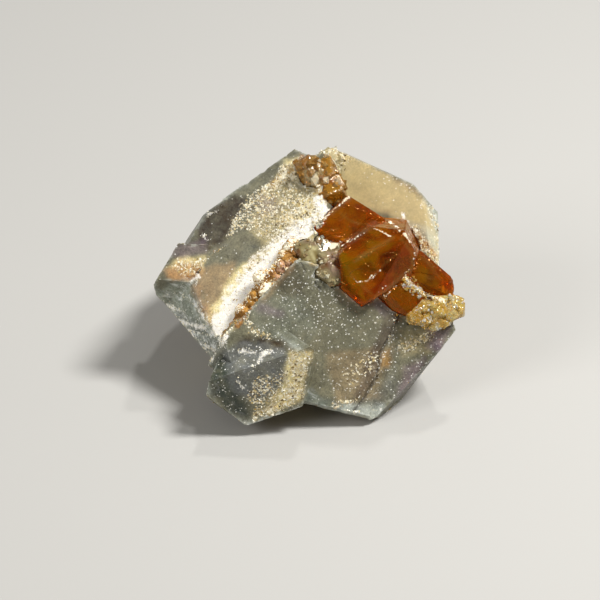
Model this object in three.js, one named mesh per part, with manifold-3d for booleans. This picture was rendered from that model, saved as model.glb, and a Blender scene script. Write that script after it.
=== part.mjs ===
import * as THREE from 'three';
import { ConvexGeometry } from 'three/addons/geometries/ConvexGeometry.js';
import { mergeVertices } from 'three/addons/utils/BufferGeometryUtils.js';
import Module from 'manifold-3d';

// A group of intergrown fluorite octahedra with amber crystals seated between them.
// Sizes are millimetres, +Z is up, and the group rests on the flat place where it broke off its rock.
// Places are given as they are seen on the show side from LEAN degrees above the level:
// right and up across the view, toward out of it, all from the middle of the group.

const LEAN = THREE.MathUtils.degToRad(30);
const BASE_CUT = -16.3;
const SEAT_GAP = 0.3;
const BIG = 60;

const wasm = await Module();
wasm.setup();

// The angle between two neighbouring faces' normals in an octahedron has the cosine 1/3.
const NEXT_FACE_COSINE = 1 / 3;
const NEXT_FACE_SINE = Math.sqrt(1 - NEXT_FACE_COSINE ** 2);

const seen = (right, up, toward) =>
  new THREE.Vector3(
    right,
    up * Math.sin(LEAN) - toward * Math.cos(LEAN),
    up * Math.cos(LEAN) + toward * Math.sin(LEAN),
  );

// A direction by its compass angle from the front, positive to the right, and its angle above the level.
function facing(azimuth, elevation) {
  const a = THREE.MathUtils.degToRad(azimuth);
  const e = THREE.MathUtils.degToRad(elevation);
  return new THREE.Vector3(Math.sin(a) * Math.cos(e), -Math.cos(a) * Math.cos(e), Math.sin(e));
}

// A face is a plane: everything of the crystal lies at most reach along its normal.
const face = (normal, point) => ({ normal, reach: normal.dot(point) });
const grown = (faces, by) => faces.map(({ normal, reach }) => ({ normal, reach: reach + by }));

// The corner where three faces meet, or null where two of them are parallel.
function meeting(a, b, c) {
  const turn = a.normal.dot(b.normal.clone().cross(c.normal));
  if (Math.abs(turn) < 1e-6) return null;
  const corner = b.normal.clone().cross(c.normal).multiplyScalar(a.reach);
  corner.add(c.normal.clone().cross(a.normal).multiplyScalar(b.reach));
  corner.add(a.normal.clone().cross(b.normal).multiplyScalar(c.reach));
  return corner.divideScalar(turn);
}

// All corners of the body that lies inside every face.
function cornersOf(faces) {
  const corners = [];
  const inside = (p) => faces.every(({ normal, reach }) => normal.dot(p) <= reach + 1e-5);
  for (let i = 0; i < faces.length; i += 1) {
    for (let j = 0; j < i; j += 1) {
      for (let k = 0; k < j; k += 1) {
        const corner = meeting(faces[i], faces[j], faces[k]);
        if (!corner || !inside(corner)) continue;
        if (corners.every((known) => known.distanceTo(corner) > 1e-3)) corners.push(corner);
      }
    }
  }
  return corners;
}

function solidFromGeometry(geometry) {
  const bare = geometry.clone();
  bare.deleteAttribute('normal');
  bare.deleteAttribute('uv');
  const merged = mergeVertices(bare, 1e-4);
  const mesh = new wasm.Mesh({
    numProp: 3,
    vertProperties: new Float32Array(merged.attributes.position.array),
    triVerts: new Uint32Array(merged.index.array),
  });
  return new wasm.Manifold(mesh);
}

const solidFromFaces = (faces) => solidFromGeometry(new ConvexGeometry(cornersOf(faces)));
const joined = (solids) => solids.reduce((whole, solid) => whole.add(solid));

// The eight normals of an octahedron: main face, its three sloping neighbours, and the opposites of all four.
function octahedronNormals(pole, turn) {
  const across = new THREE.Vector3(0, 0, 1).cross(pole).normalize();
  const along = pole.clone().cross(across);
  const sloping = [0, 1, 2].map((third) => {
    const angle = THREE.MathUtils.degToRad(turn + 120 * third);
    return pole
      .clone()
      .multiplyScalar(NEXT_FACE_COSINE)
      .addScaledVector(across, NEXT_FACE_SINE * Math.cos(angle))
      .addScaledVector(along, NEXT_FACE_SINE * Math.sin(angle));
  });
  const front = [pole.clone(), ...sloping];
  return [...front, ...front.map((normal) => normal.clone().negate())];
}

// A large crystal: its main face passes through middle, and each side face meets the main face
// at a place given across the view. Breaks are flat fractures, given by a seen direction and a place.
function octahedron({ azimuth, elevation, turn, middle, sides, thickness, breaks = [] }) {
  const normals = octahedronNormals(facing(azimuth, elevation), turn);
  const main = face(normals[0], seen(...middle));
  const view = seen(0, 0, 1);
  const onMain = ([right, up]) => {
    const flat = seen(right, up, 0);
    return flat.addScaledVector(view, (main.reach - main.normal.dot(flat)) / main.normal.dot(view));
  };
  const sideNormals = [1, 2, 3, 5, 6, 7].map((index) => normals[index]);
  const faces = [
    main,
    { normal: normals[4], reach: thickness - main.reach },
    ...sideNormals.map((normal, index) => face(normal, onMain(sides[index]))),
    ...breaks.map(([toward, place]) => face(seen(...toward).normalize(), onMain(place))),
  ];
  return { normals, main, onMain, faces };
}

// A block that stands on a crystal's main face, or is sunk in it, over an outline of places across the view.
function block({ main, onMain }, outline, top, bottom, sideLean = 0) {
  const corners = outline.map(onMain);
  const middle = corners.reduce((sum, p) => sum.add(p), new THREE.Vector3()).divideScalar(corners.length);
  const lean = THREE.MathUtils.degToRad(sideLean);
  const sides = corners.map((corner, index) => {
    const next = corners[(index + 1) % corners.length];
    const square = next.clone().sub(corner).cross(main.normal).normalize();
    if (square.dot(middle.clone().sub(corner)) > 0) square.negate();
    const leaning = square.multiplyScalar(Math.cos(lean)).addScaledVector(main.normal, Math.sin(lean));
    return face(leaning, corner);
  });
  return [
    { normal: main.normal.clone(), reach: main.reach + top },
    { normal: main.normal.clone().negate(), reach: -main.reach - bottom },
    ...sides,
  ];
}

// A tabular crystal that stands alone: a flat face looking out, with an outline across the view.
// Facets slope away from its flat face, each given by a seen direction and a place on its edge.
function tablet({ azimuth, elevation, middle, outline, thickness, sideLean = 0, facets = [] }) {
  const main = face(facing(azimuth, elevation), seen(...middle));
  const view = seen(0, 0, 1);
  const onMain = ([right, up]) => {
    const flat = seen(right, up, 0);
    return flat.addScaledVector(view, (main.reach - main.normal.dot(flat)) / main.normal.dot(view));
  };
  return [
    ...block({ main, onMain }, outline, 0, -thickness, sideLean),
    ...facets.map(([toward, place]) => face(seen(...toward).normalize(), onMain(place))),
  ];
}

// A whole small octahedron around a place, turned like the crystal that it grew in parallel with.
const smallOctahedron = (normals, place, halfThickness) =>
  normals.map((normal) => ({ normal, reach: normal.dot(place) + halfThickness }));

// A small octahedron sunk in one face of its host, so that only its flat top stands a little above the face.
function plateau({ normals, faces }, index, [across, along], halfThickness, rise) {
  const { normal, reach } = faces[index];
  const corners = cornersOf(faces).filter((corner) => Math.abs(normal.dot(corner) - reach) < 1e-3);
  const place = corners.reduce((sum, p) => sum.add(p), new THREE.Vector3()).divideScalar(corners.length);
  const level = new THREE.Vector3(0, 0, 1).cross(normal).normalize();
  const slope = normal.clone().cross(level);
  place.addScaledVector(level, across).addScaledVector(slope, along).addScaledVector(normal, rise - halfThickness);
  return smallOctahedron(normals, place, halfThickness);
}

// A small octahedron that grew unevenly, with each face at its own distance and the tips worn off.
function crystallet([right, up, toward], azimuth, elevation, turn, half) {
  const centre = seen(right, up, toward);
  const normals = octahedronNormals(facing(azimuth, elevation), turn);
  const uneven = (index) => 1 + 0.2 * Math.sin(2.3 * index + 0.37 * turn + 0.11 * azimuth);
  const faces = normals.map((normal, index) => ({ normal, reach: normal.dot(centre) + half * uneven(index) }));
  const across = normals[0].clone().cross(normals[1]).normalize();
  const tips = [normals[0].clone().add(normals[1]), normals[2].clone().add(normals[3]), across];
  const worn = tips.flatMap((tip) => [tip.clone().normalize(), tip.clone().normalize().negate()]);
  return [...faces, ...worn.map((normal) => ({ normal, reach: normal.dot(centre) + half * 1.35 }))];
}

// A lump with a dozen rough faces: directions spread evenly by the golden angle, each at its own distance.
function lump([right, up, toward], radius, flatness, seed) {
  const centre = seen(right, up, toward);
  const out = seen(0, 0, 1);
  const count = 14;
  const golden = Math.PI * (3 - Math.sqrt(5));
  return Array.from({ length: count }, (_, index) => {
    const z = 1 - (2 * index + 1) / count;
    const ring = Math.sqrt(1 - z * z);
    const angle = golden * (index + seed);
    const normal = new THREE.Vector3(ring * Math.cos(angle), ring * Math.sin(angle), z);
    const rough = 1 + 0.16 * Math.sin(12.9 * (index + 1) + 4.1 * seed);
    const squash = 1 - flatness * Math.abs(normal.dot(out));
    return { normal, reach: normal.dot(centre) + radius * rough * squash };
  });
}

// The five large fluorite crystals.

const lowerCrystal = octahedron({
  azimuth: 14,
  elevation: 28,
  turn: 69,
  middle: [3.2, -8.4, 6.5],
  sides: [[13.6, -0.5], [-10.5, -15], [16.2, -13.1], [4.7, -19.3], [22.2, -6.9], [-6.9, -1.8]],
  thickness: 19,
  breaks: [
    [[-0.05, -0.8, 0.6], [1.7, -17.9]],
    [[0.05, -1, 0.05], [7.6, -20.2]],
    [[0.42, -0.9, 0.1], [11.4, -19.1]],
    [[0.8, -0.6, -0.05], [17.1, -13.3]],
  ],
});

const lobeCrystal = octahedron({
  azimuth: 5,
  elevation: 5,
  turn: 108,
  middle: [-7.9, -16.5, 9.3],
  sides: [[-7.2, -11.8], [-12.8, -18.2], [-0.5, -16.5], [-5.7, -19.8], [-2.7, -6.9], [-14.5, -13.6]],
  thickness: 15,
});

const leftCrystal = octahedron({
  azimuth: -25,
  elevation: 45,
  turn: 20,
  middle: [-8.7, 6.5, 1.5],
  sides: [[2, 12.4], [-9.4, 14.8], [-17.6, -7.6], [-28, -0.9], [-12.4, -10.1], [-1.3, 19.7]],
  thickness: 21,
  breaks: [
    [[-0.88, 0.47, 0.05], [-16.7, 8.3]],
    [[-0.76, -0.06, 0.65], [-15.4, -4.2]],
    [[-0.74, -0.67, -0.03], [-18.5, -6.6]],
    [[-0.97, -0.2, 0], [-23.1, -0.9]],
  ],
});

const shoulderCrystal = octahedron({
  azimuth: -6,
  elevation: 38,
  turn: 30,
  middle: [-16.1, 2.8, 0.3],
  sides: [[-10.8, 3.2], [-20.6, 4.2], [-16.1, -8.4], [-26.5, -3.2], [-10.2, -6.9], [-17.6, 6]],
  thickness: 12,
  breaks: [
    [[-0.15, -0.75, 0.64], [-20.2, 0.4]],
    [[-0.86, 0.51, 0], [-20.9, 3.5]],
    [[-0.97, -0.2, 0], [-22.9, -0.9]],
    [[-0.74, -0.67, -0.03], [-18.5, -6.6]],
  ],
});

const rightCrystal = octahedron({
  azimuth: -20,
  elevation: 50,
  turn: 76,
  middle: [10.6, 10.9, -3],
  sides: [[10.3, 17.2], [-1.3, 12.4], [13.6, -2.4], [10.6, -0.9], [19.7, 6.5], [2, 20]],
  thickness: 16,
  breaks: [
    [[0.43, 0.9, -0.02], [10.3, 17.5]],
    [[0.72, 0.35, 0.6], [17.3, 10.2]],
    [[0.75, 0.66, -0.03], [17.3, 13]],
    [[0.97, 0.2, -0.03], [19.7, 9.1]],
  ],
});

const middleCrystal = octahedron({
  azimuth: 0,
  elevation: 35,
  turn: 40,
  middle: [9.9, 4.2, 1],
  sides: [[9.9, 10.2], [3.2, 4.2], [9.9, -2.4], [9.9, -2.4], [18, 4.2], [4.7, 8.7]],
  thickness: 12,
});

// The right edge of the lower crystal stopped growing early, so it lies a step below the rest of its face.
const STEP_DEPTH = 0.7;
const steps = [
  [[14, -2], [13.1, -5.1], [10.5, -10.3], [10, -13.9], [24, -13.9], [24, -2]],
  [[10.14, -12.9], [10, -13.9], [6.8, -18.6], [6.8, -23], [24, -23], [24, -12.9]],
].map((outline) => block(lowerCrystal, outline, 3, -STEP_DEPTH));

// Small crystals at the top of the group: place, half thickness.
const topCrystals = [
  [[3.3, 19.3, -7.8], 1.05],
  [[2.2, 18.2, -6.4], 1.1],
  [[4.6, 18.6, -8.2], 0.9],
  [[3.6, 17.4, -6], 0.9],
  [[-1.7, 18, -1.8], 0.9],
].map(([place, half], index) => crystallet(place, 40 * index, 50, 25 * index, half));

// Growth plateaus on the sides and the back: host, face, shift across and up the face, half thickness, rise.
// A face is counted as main, back, three sloping, three undercut, then the breaks.
const plateaus = [
  [leftCrystal, 3, [-3.5, 5], 3.2, 0.5],
  [leftCrystal, 3, [3.5, 7.5], 1.8, 0.5],
  [leftCrystal, 1, [2, 3], 3.4, 0.9],
  [leftCrystal, 1, [-5, -1], 2.4, 0.7],
  [leftCrystal, 1, [6.5, -2], 1.8, 0.8],
  [leftCrystal, 5, [0, 0], 2.2, 0.6],
  [leftCrystal, 7, [-4.5, -3], 2.2, 0.6],
  [rightCrystal, 1, [0, 0], 3, 0.8],
  [rightCrystal, 1, [4, 3], 1.8, 0.7],
  [rightCrystal, 7, [1.5, -1], 2.4, 0.7],
  [rightCrystal, 7, [-3, 1.5], 1.6, 0.6],
  [rightCrystal, 5, [1, 3], 2.4, 0.8],
  [lowerCrystal, 1, [1, -1.5], 3, 0.9],
  [lowerCrystal, 1, [-4.5, 2], 2, 0.8],
  [lowerCrystal, 6, [1.5, -1], 2.8, 0.7],
  [lowerCrystal, 6, [-3, 1.5], 1.8, 0.6],
].map(([host, index, shift, half, rise]) => plateau(host, index, shift, half, rise));

// The amber crystals, seated in the hollow between the fluorite crystals.

const amberMiddle = tablet({
  azimuth: 0,
  elevation: 22,
  middle: [10.3, 2.8, 7.8],
  outline: [[4.7, 4.1], [8.7, 8], [14, 7.5], [15.7, 4.1], [14.8, 1.1], [7.9, -3.2], [5, -0.7]],
  thickness: 9,
  sideLean: 4,
  facets: [
    [[-0.55, 0.5, 0.67], [6.4, 5.6]],
    [[-0.16, 0.26, 0.95], [9.5, 4.8]],
    [[0.42, -0.36, 0.83], [12.6, 3.4]],
    [[0.6, 0.5, 0.62], [15, 6.3]],
    [[-0.35, -0.62, 0.7], [6, -1.2]],
  ],
});

const amberUpper = tablet({
  azimuth: 15,
  elevation: 45,
  middle: [6.2, 9.7, 3.2],
  outline: [[1, 8.5], [6, 13], [12.2, 8.8], [9.4, 6.5], [5.6, 5.3], [2.4, 6.8]],
  thickness: 8,
  sideLean: 4,
  facets: [
    [[-0.48, 0.58, 0.66], [2.9, 9.2]],
    [[0.3, 0.66, 0.69], [9.6, 10.1]],
    [[-0.1, -0.45, 0.88], [4.4, 6.6]],
  ],
});

const amberRight = tablet({
  azimuth: 30,
  elevation: 40,
  middle: [18, 1.3, 3],
  outline: [[14.3, 5.6], [15.2, 6], [21.4, 0.7], [21.6, -1.4], [20, -2.7], [14.3, 1.1]],
  thickness: 8,
  sideLean: 4,
  facets: [
    [[0.6, 0.55, 0.58], [17.6, 3.2]],
    [[0.72, 0.02, 0.69], [20.6, 0]],
    [[0.05, -0.5, 0.86], [17.4, -0.2]],
  ],
});

const amberLower = tablet({
  azimuth: 15,
  elevation: 15,
  middle: [13.9, -2, 5.6],
  outline: [[10.2, -1.4], [14.5, 1.3], [17.3, -2.1], [16.7, -3.6], [14.8, -4.8], [12.7, -3.9]],
  thickness: 6,
  sideLean: 4,
  facets: [
    [[-0.2, -0.62, 0.75], [13.4, -3.1]],
    [[0.6, -0.3, 0.74], [16.2, -2.6]],
  ],
});

// Smaller crystals around them: place, compass angle, height angle, turn, half thickness.
const cluster = (list) => list.map((one) => crystallet(...one));

const amberTopCluster = cluster([
  [[-0.3, 17.3, 1], 20, 50, 0, 1.1],
  [[0.9, 17.4, 0.5], -40, 35, 30, 1.1],
  [[2.1, 16.8, 0], -15, 60, 20, 1.4],
  [[0.7, 16, 1.2], 10, 40, 75, 1.2],
  [[2, 15.2, 0.8], 60, 30, 45, 1.2],
  [[3.4, 14.9, -0.6], 30, 45, 10, 1.4],
  [[2.9, 13.7, 0.7], 5, 55, 50, 1.3],
  [[4.2, 13.3, -0.2], -30, 25, 90, 1.2],
]);

const paleCluster = cluster([
  [[-0.8, 4.6, 4.2], -20, 45, 0, 1.3],
  [[0.5, 3.6, 4.9], 15, 35, 25, 1.5],
  [[0.1, 2.1, 5.2], 0, 25, 60, 1.1],
  [[1.8, 4.9, 4.1], 30, 50, 40, 1.2],
  [[2.1, 3.1, 5.2], -50, 20, 80, 1.1],
  [[2.5, 1.8, 5.5], -10, 40, 5, 1.3],
  [[3.4, 4.3, 4.1], 0, 60, 15, 1.2],
  [[3.7, 2.7, 4.9], 45, 30, 100, 1],
  [[3.8, 1.2, 5.6], 10, 30, 50, 1.2],
  [[1.3, 0.8, 5.7], 25, 15, 35, 0.8],
]);

const yellowCrust = cluster([
  [[15.7, -4.6, 4.3], 10, 20, 0, 1],
  [[16.6, -3.6, 4.2], -20, 50, 40, 0.9],
  [[17.1, -5.1, 4.1], 35, 35, 25, 1],
  [[17.9, -3.9, 3.9], 60, 20, 70, 1.1],
  [[18.5, -5.6, 3.7], 20, 10, 45, 1],
  [[19.2, -4.3, 3.5], 50, 40, 10, 1.2],
  [[19.6, -2.9, 3.2], 0, 60, 95, 0.9],
  [[19.9, -5.5, 2.9], -30, 30, 20, 1],
  [[20.6, -4.4, 2.5], 40, 15, 30, 1.2],
  [[20.9, -3, 2.2], 50, 35, 55, 1.1],
  [[21.9, -3.8, 1.8], 15, 50, 85, 0.9],
]);

// Rusty fill in the seam between the left and the lower crystal: right, up, toward, radius.
const seamLumps = [
  [-2.3, 4.9, 4.2, 1.3],
  [-3.2, 3.7, 4.6, 1.4],
  [-2.1, 2.7, 4.9, 0.9],
  [-4.2, 2.4, 5, 1.1],
  [-5.4, 0.9, 5.3, 1.5],
  [-7, 0.5, 5.3, 1],
  [-6.2, -0.8, 5.4, 1.3],
  [-7.8, -1.8, 5.3, 1.2],
  [-8.5, -3, 5.2, 1],
  [-9.3, -4.1, 5.2, 1.1],
  [-10, -5.3, 5.2, 1],
  [-10.7, -6.5, 5.2, 1],
  [-11.4, -7.8, 5, 1.1],
].map(([right, up, toward, radius], index) => lump([right, up, toward], radius, 0.35, index));

// Every piece as a list of convex bodies, the ones that keep their whole form first.
const seated = [
  ['amber_crystal_middle', [amberMiddle]],
  ['amber_crystal_upper', [amberUpper]],
  ['amber_crystal_right', [amberRight]],
  ['amber_crystal_lower', [amberLower]],
  ['amber_cluster_top', amberTopCluster],
  ['yellow_crust', yellowCrust],
  ['pale_crystal_cluster', paleCluster],
  ['iron_oxide_seam', seamLumps],
];

const belowTheCut = solidFromGeometry(
  new THREE.BoxGeometry(2 * BIG, 2 * BIG, BIG).translate(0, 0, BASE_CUT - BIG / 2),
);

// Each piece gives way to those before it, so that all of them keep their gap.
const solids = new Map();
let taken = null;
for (const [name, bodies] of seated) {
  let solid = joined(bodies.map(solidFromFaces));
  const room = joined(bodies.map((faces) => solidFromFaces(grown(faces, SEAT_GAP))));
  if (taken) solid = solid.subtract(taken);
  solids.set(name, solid);
  taken = taken ? taken.add(room) : room;
}

const fluoriteBodies = [
  lowerCrystal,
  lobeCrystal,
  leftCrystal,
  shoulderCrystal,
  rightCrystal,
  middleCrystal,
].map(({ faces }) => faces);
let fluorite = joined([...fluoriteBodies, ...topCrystals, ...plateaus].map(solidFromFaces));
fluorite = fluorite.subtract(joined(steps.map(solidFromFaces)));
fluorite = fluorite.subtract(taken).subtract(belowTheCut);
solids.set('fluorite_octahedra', fluorite);

const colours = {
  fluorite_octahedra: 0x8f9482,
  amber_crystal_middle: 0xa86410,
  amber_crystal_upper: 0xa34f0c,
  amber_crystal_right: 0x8c4208,
  amber_crystal_lower: 0xa8560c,
  amber_cluster_top: 0xa07028,
  yellow_crust: 0xc9a548,
  pale_crystal_cluster: 0xb5a582,
  iron_oxide_seam: 0xa8702a,
};

function meshFrom(name, solid) {
  const { vertProperties, triVerts } = solid.getMesh();
  const geometry = new THREE.BufferGeometry();
  geometry.setAttribute('position', new THREE.BufferAttribute(new Float32Array(vertProperties), 3));
  geometry.setIndex(new THREE.BufferAttribute(new Uint32Array(triVerts), 1));
  geometry.computeVertexNormals();
  const material = new THREE.MeshStandardMaterial({ color: colours[name], roughness: 0.35, metalness: 0 });
  const mesh = new THREE.Mesh(geometry, material);
  mesh.name = name;
  return mesh;
}

const specimen = new THREE.Group();
for (const [name, solid] of solids) specimen.add(meshFrom(name, solid));

// The origin is on the base, under the middle of the whole group.
const box = new THREE.Box3().setFromObject(specimen);
const middle = box.getCenter(new THREE.Vector3());
for (const mesh of specimen.children) mesh.geometry.translate(-middle.x, -middle.y, -box.min.z);

export default specimen;
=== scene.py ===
# %% [markdown]
# # Fluorite octahedra with amber crystals
#
# A cluster of grey-green fluorite octahedra, 46 mm across, with a chain of clear amber
# crystals in the hollow between them. The CAD model gives the crystals' faces; this
# script gives them their growth relief, crusts, stains and light. Lengths are in
# millimetres while a shape is worked out, and become metres when a mesh is made.

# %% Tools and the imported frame
import math
import bpy
import bmesh
import numpy as np
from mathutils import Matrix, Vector


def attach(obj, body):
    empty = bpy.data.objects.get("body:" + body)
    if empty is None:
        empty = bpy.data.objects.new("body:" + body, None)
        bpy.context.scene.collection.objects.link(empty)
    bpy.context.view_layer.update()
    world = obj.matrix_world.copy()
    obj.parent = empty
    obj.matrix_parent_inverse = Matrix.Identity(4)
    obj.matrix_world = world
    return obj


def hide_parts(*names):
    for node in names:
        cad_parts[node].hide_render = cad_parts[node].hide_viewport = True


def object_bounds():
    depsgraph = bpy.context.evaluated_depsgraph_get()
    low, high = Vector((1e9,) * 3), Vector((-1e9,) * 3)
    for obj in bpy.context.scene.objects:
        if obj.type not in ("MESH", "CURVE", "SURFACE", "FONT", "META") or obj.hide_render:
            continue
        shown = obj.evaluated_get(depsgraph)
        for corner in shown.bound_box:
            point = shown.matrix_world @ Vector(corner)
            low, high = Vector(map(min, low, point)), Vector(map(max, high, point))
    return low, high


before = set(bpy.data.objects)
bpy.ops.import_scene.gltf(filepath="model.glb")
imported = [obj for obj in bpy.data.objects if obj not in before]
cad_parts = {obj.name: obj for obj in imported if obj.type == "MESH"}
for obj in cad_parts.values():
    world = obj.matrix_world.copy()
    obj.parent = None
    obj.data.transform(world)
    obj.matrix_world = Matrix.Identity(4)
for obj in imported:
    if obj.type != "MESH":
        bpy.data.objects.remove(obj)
cad_box = [list(corner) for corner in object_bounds()]
MM = 0.001
CAD_LOW, CAD_HIGH = (np.array(corner) / MM for corner in cad_box)
print("CAD nodes:", sorted(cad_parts))
print("CAD box in mm:", CAD_LOW.round(2), CAD_HIGH.round(2))

# %% [markdown]
# ## The camera
#
# The photograph looks down on the specimen at 30 degrees from the front. Right, up and
# toward the viewer are three directions across that view, and each place on the
# specimen is first written as it is seen: x and y on a 600 x 600 picture. A long lens
# from 0.9 m keeps the view almost parallel, as in a close-up of a small stone.

# %% Directions of view and the camera
VIEW_TILT = math.radians(30)
RIGHT = np.array([1.0, 0.0, 0.0])
UP = np.array([0.0, math.sin(VIEW_TILT), math.cos(VIEW_TILT)])
TOWARD = np.array([0.0, -math.cos(VIEW_TILT), math.sin(VIEW_TILT)])
SEEN_MIDDLE = np.array([-0.056, -4.898, 16.3])
PICTURE_MIDDLE = np.array([308.5, 283.6])
MM_PER_DOT = 46 / 310
CAMERA_DISTANCE = 900.0
PICTURE_SIDE = 600


def seen(places):
    """Picture places (x, y) become millimetres right and up of the seen middle."""
    away = np.asarray(places, float) - PICTURE_MIDDLE
    return away * (MM_PER_DOT, -MM_PER_DOT)


def across_view(points):
    """Points of the model become millimetres right and up, by their dot products."""
    away = points - SEEN_MIDDLE
    return np.stack([away @ RIGHT, away @ UP], axis=1)


def put(thing, name):
    """An object for a mesh, light or camera, linked to the scene."""
    made = bpy.data.objects.new(name, thing)
    bpy.context.scene.collection.objects.link(made)
    return made


aim_right, aim_up = seen((PICTURE_SIDE / 2, PICTURE_SIDE / 2))
aim = SEEN_MIDDLE + RIGHT * aim_right + UP * aim_up
camera = put(bpy.data.cameras.new("camera"), "camera")
camera.location = (aim + TOWARD * CAMERA_DISTANCE) * MM
camera.rotation_euler = (math.radians(90) - VIEW_TILT, 0, 0)
camera.data.sensor_width = 36
camera.data.lens = 36 * CAMERA_DISTANCE / (PICTURE_SIDE * MM_PER_DOT)
camera.data.clip_start = 0.05
camera.data.clip_end = 20
bpy.context.scene.camera = camera
bpy.context.scene.view_settings.view_transform = "Standard"
print("view width in mm:", round(PICTURE_SIDE * MM_PER_DOT, 1))

# %% [markdown]
# ## Noise on whole arrays
#
# Natural faces are never quite flat or even. Two kinds of noise do most of the work.
# One is smooth: random values on a cubic lattice, mixed between the corners of a cell.
# The other is made of small pyramids, because it measures the distance to scattered
# centres by adding the three differences, and that gives the faces of an octahedron.

# %% Noise
LATTICE_SIDE = 64
lattice_random = np.random.default_rng(7)
LATTICE = lattice_random.random((LATTICE_SIDE,) * 3)
CENTRES = lattice_random.random((LATTICE_SIDE,) * 3 + (3,))


def smooth_step(low, high, value):
    """0 below low, 1 above high, and an even S curve between them."""
    part = np.clip((value - low) / (high - low), 0, 1)
    return part * part * (3 - 2 * part)


def soft_noise(points, size, shift=0.0):
    """-1 to 1: lattice values mixed by each point's smoothed place in its cell."""
    place = points / size + shift
    cell = np.floor(place).astype(int)
    part = place - cell
    part = part * part * (3 - 2 * part)
    total = np.zeros(len(points))
    for corner in np.ndindex(2, 2, 2):
        index = (cell + corner) % LATTICE_SIDE
        share = np.where(corner, part, 1 - part).prod(axis=1)
        total += share * LATTICE[index[:, 0], index[:, 1], index[:, 2]]
    return total * 2 - 1


def layered_noise(points, size, layers=3, shift=0.0):
    """Soft noise plus finer layers, each at half the size and half the height."""
    total = np.zeros(len(points))
    for layer in range(layers):
        total += soft_noise(points, size / 2 ** layer, shift + 9.3 * layer) / 2 ** layer
    return total / (2 - 2 ** (1 - layers))


def small_pyramids(points, size):
    """0 to 1: one less the summed distance to the nearest of the scattered centres."""
    place = points / size
    base = np.floor(place).astype(int)
    nearest = np.full(len(points), 9.0)
    for step in np.ndindex(3, 3, 3):
        cell = base + step - 1
        index = cell % LATTICE_SIDE
        centre = cell + CENTRES[index[:, 0], index[:, 1], index[:, 2]]
        nearest = np.minimum(nearest, np.abs(place - centre).sum(axis=1))
    return np.clip(1 - nearest, 0, 1)


print("noise at three points:", soft_noise(np.eye(3) * 5, 2.0).round(2))

# %% [markdown]
# ## Skins
#
# A facet needs many small faces before it can carry relief. A merged copy of the CAD
# solid is cut into even small squares by a sharp Remesh, which keeps the crystal's
# edges. The reach is the share of the grid that the solid fills, so a smaller reach
# makes larger squares. Its points are then moved along their normals, as whole arrays.
# Relief goes inwards, because the size of the specimen is the CAD model's.

# %% Reading a fine skin from a CAD solid
FLUORITE_REACH = 0.57
CRYSTAL_REACH = 0.9


def fine_skin(node_name, depth, reach):
    """Points in millimetres and four-sided faces of a sharply remeshed merged copy."""
    work = bmesh.new()
    work.from_mesh(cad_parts[node_name].data)
    bmesh.ops.remove_doubles(work, verts=work.verts, dist=2e-6)
    mesh = bpy.data.meshes.new("working copy")
    work.to_mesh(mesh)
    work.free()
    holder = put(mesh, "working copy")
    cut = holder.modifiers.new("even squares", "REMESH")
    cut.mode = "SHARP"
    cut.octree_depth = depth
    cut.scale = reach
    cut.sharpness = 1
    cut.use_remove_disconnected = False
    graph = bpy.context.evaluated_depsgraph_get()
    fine = holder.evaluated_get(graph).to_mesh()
    points = np.empty(len(fine.vertices) * 3)
    fine.vertices.foreach_get("co", points)
    corners = np.empty(len(fine.loops), int)
    fine.loops.foreach_get("vertex_index", corners)
    holder.evaluated_get(graph).to_mesh_clear()
    bpy.data.objects.remove(holder)
    bpy.data.meshes.remove(mesh)
    return points.reshape(-1, 3) / MM, corners.reshape(-1, 4)


def mean_at_points(count, faces, values):
    """Each point's sum of the values of its faces, added up column by column."""
    flat = faces.ravel()
    wide = np.repeat(values, 4, axis=0)
    return np.stack([np.bincount(flat, column, count) for column in wide.T], axis=1)


def point_normals(points, faces):
    """The crossed diagonals of a point's faces, added up and brought to length one."""
    first = points[faces[:, 2]] - points[faces[:, 0]]
    second = points[faces[:, 3]] - points[faces[:, 1]]
    total = mean_at_points(len(points), faces, np.cross(first, second))
    return total / np.maximum(np.linalg.norm(total, axis=1, keepdims=True), 1e-12)


def evened(faces, values, rounds):
    """Values averaged over each point's faces, several times."""
    count = len(values)
    share = np.bincount(faces.ravel(), minlength=count).astype(float)[:, None]
    result = values.reshape(count, -1)
    for _ in range(rounds):
        result = mean_at_points(count, faces, result[faces].mean(axis=1)) / share
    return result.reshape(values.shape)


def ridge(points, faces, normals, rounds=2):
    """How far a point stands out from its evened skin, in mm: edges plus, creases minus."""
    away = points - evened(faces, points, rounds)
    return evened(faces, (away * normals).sum(axis=1), 1)


def mesh_piece(name, points, faces, flat=True):
    """A mesh piece at the origin, from points in millimetres and an array of faces."""
    mesh = bpy.data.meshes.new(name)
    mesh.from_pydata((points * MM).tolist(), [], faces.tolist())
    mesh.polygons.foreach_set("use_smooth", np.full(len(faces), not flat))
    mesh.update()
    piece = put(mesh, name)
    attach(piece, "root")
    return piece


def keep_values(piece, name, values):
    """A named value for each point, which the piece's material reads."""
    layer = piece.data.attributes.new(name, "FLOAT", "POINT")
    layer.data.foreach_set("value", np.asarray(values, np.float32))


skin_points, skin_faces = fine_skin("fluorite_octahedra", 8, FLUORITE_REACH)
skin_normals = point_normals(skin_points, skin_faces)
print("fluorite skin:", len(skin_points), "points,", len(skin_faces) * 2, "triangles")

# %% [markdown]
# ## Where each crust and stain lies
#
# The specimen's colours come in zones: a grainy cream crust on the left crystal, ochre
# earth in the seam, smoke inside the lobe. Each zone is drawn on the view as a patch or
# as a brush stroke. The distance to its edge is wobbled by noise, so that no border is
# straight, and a zone only takes on faces that are turned to the viewer.

# %% Patches and strokes on the view
def distance_to_line(spots, start, end):
    """Distance to a straight piece: how far along it is held between 0 and 1."""
    along = end - start
    part = np.clip(((spots - start) @ along) / max(along @ along, 1e-9), 0, 1)
    return np.linalg.norm(spots - start - part[:, None] * along, axis=1)


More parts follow.
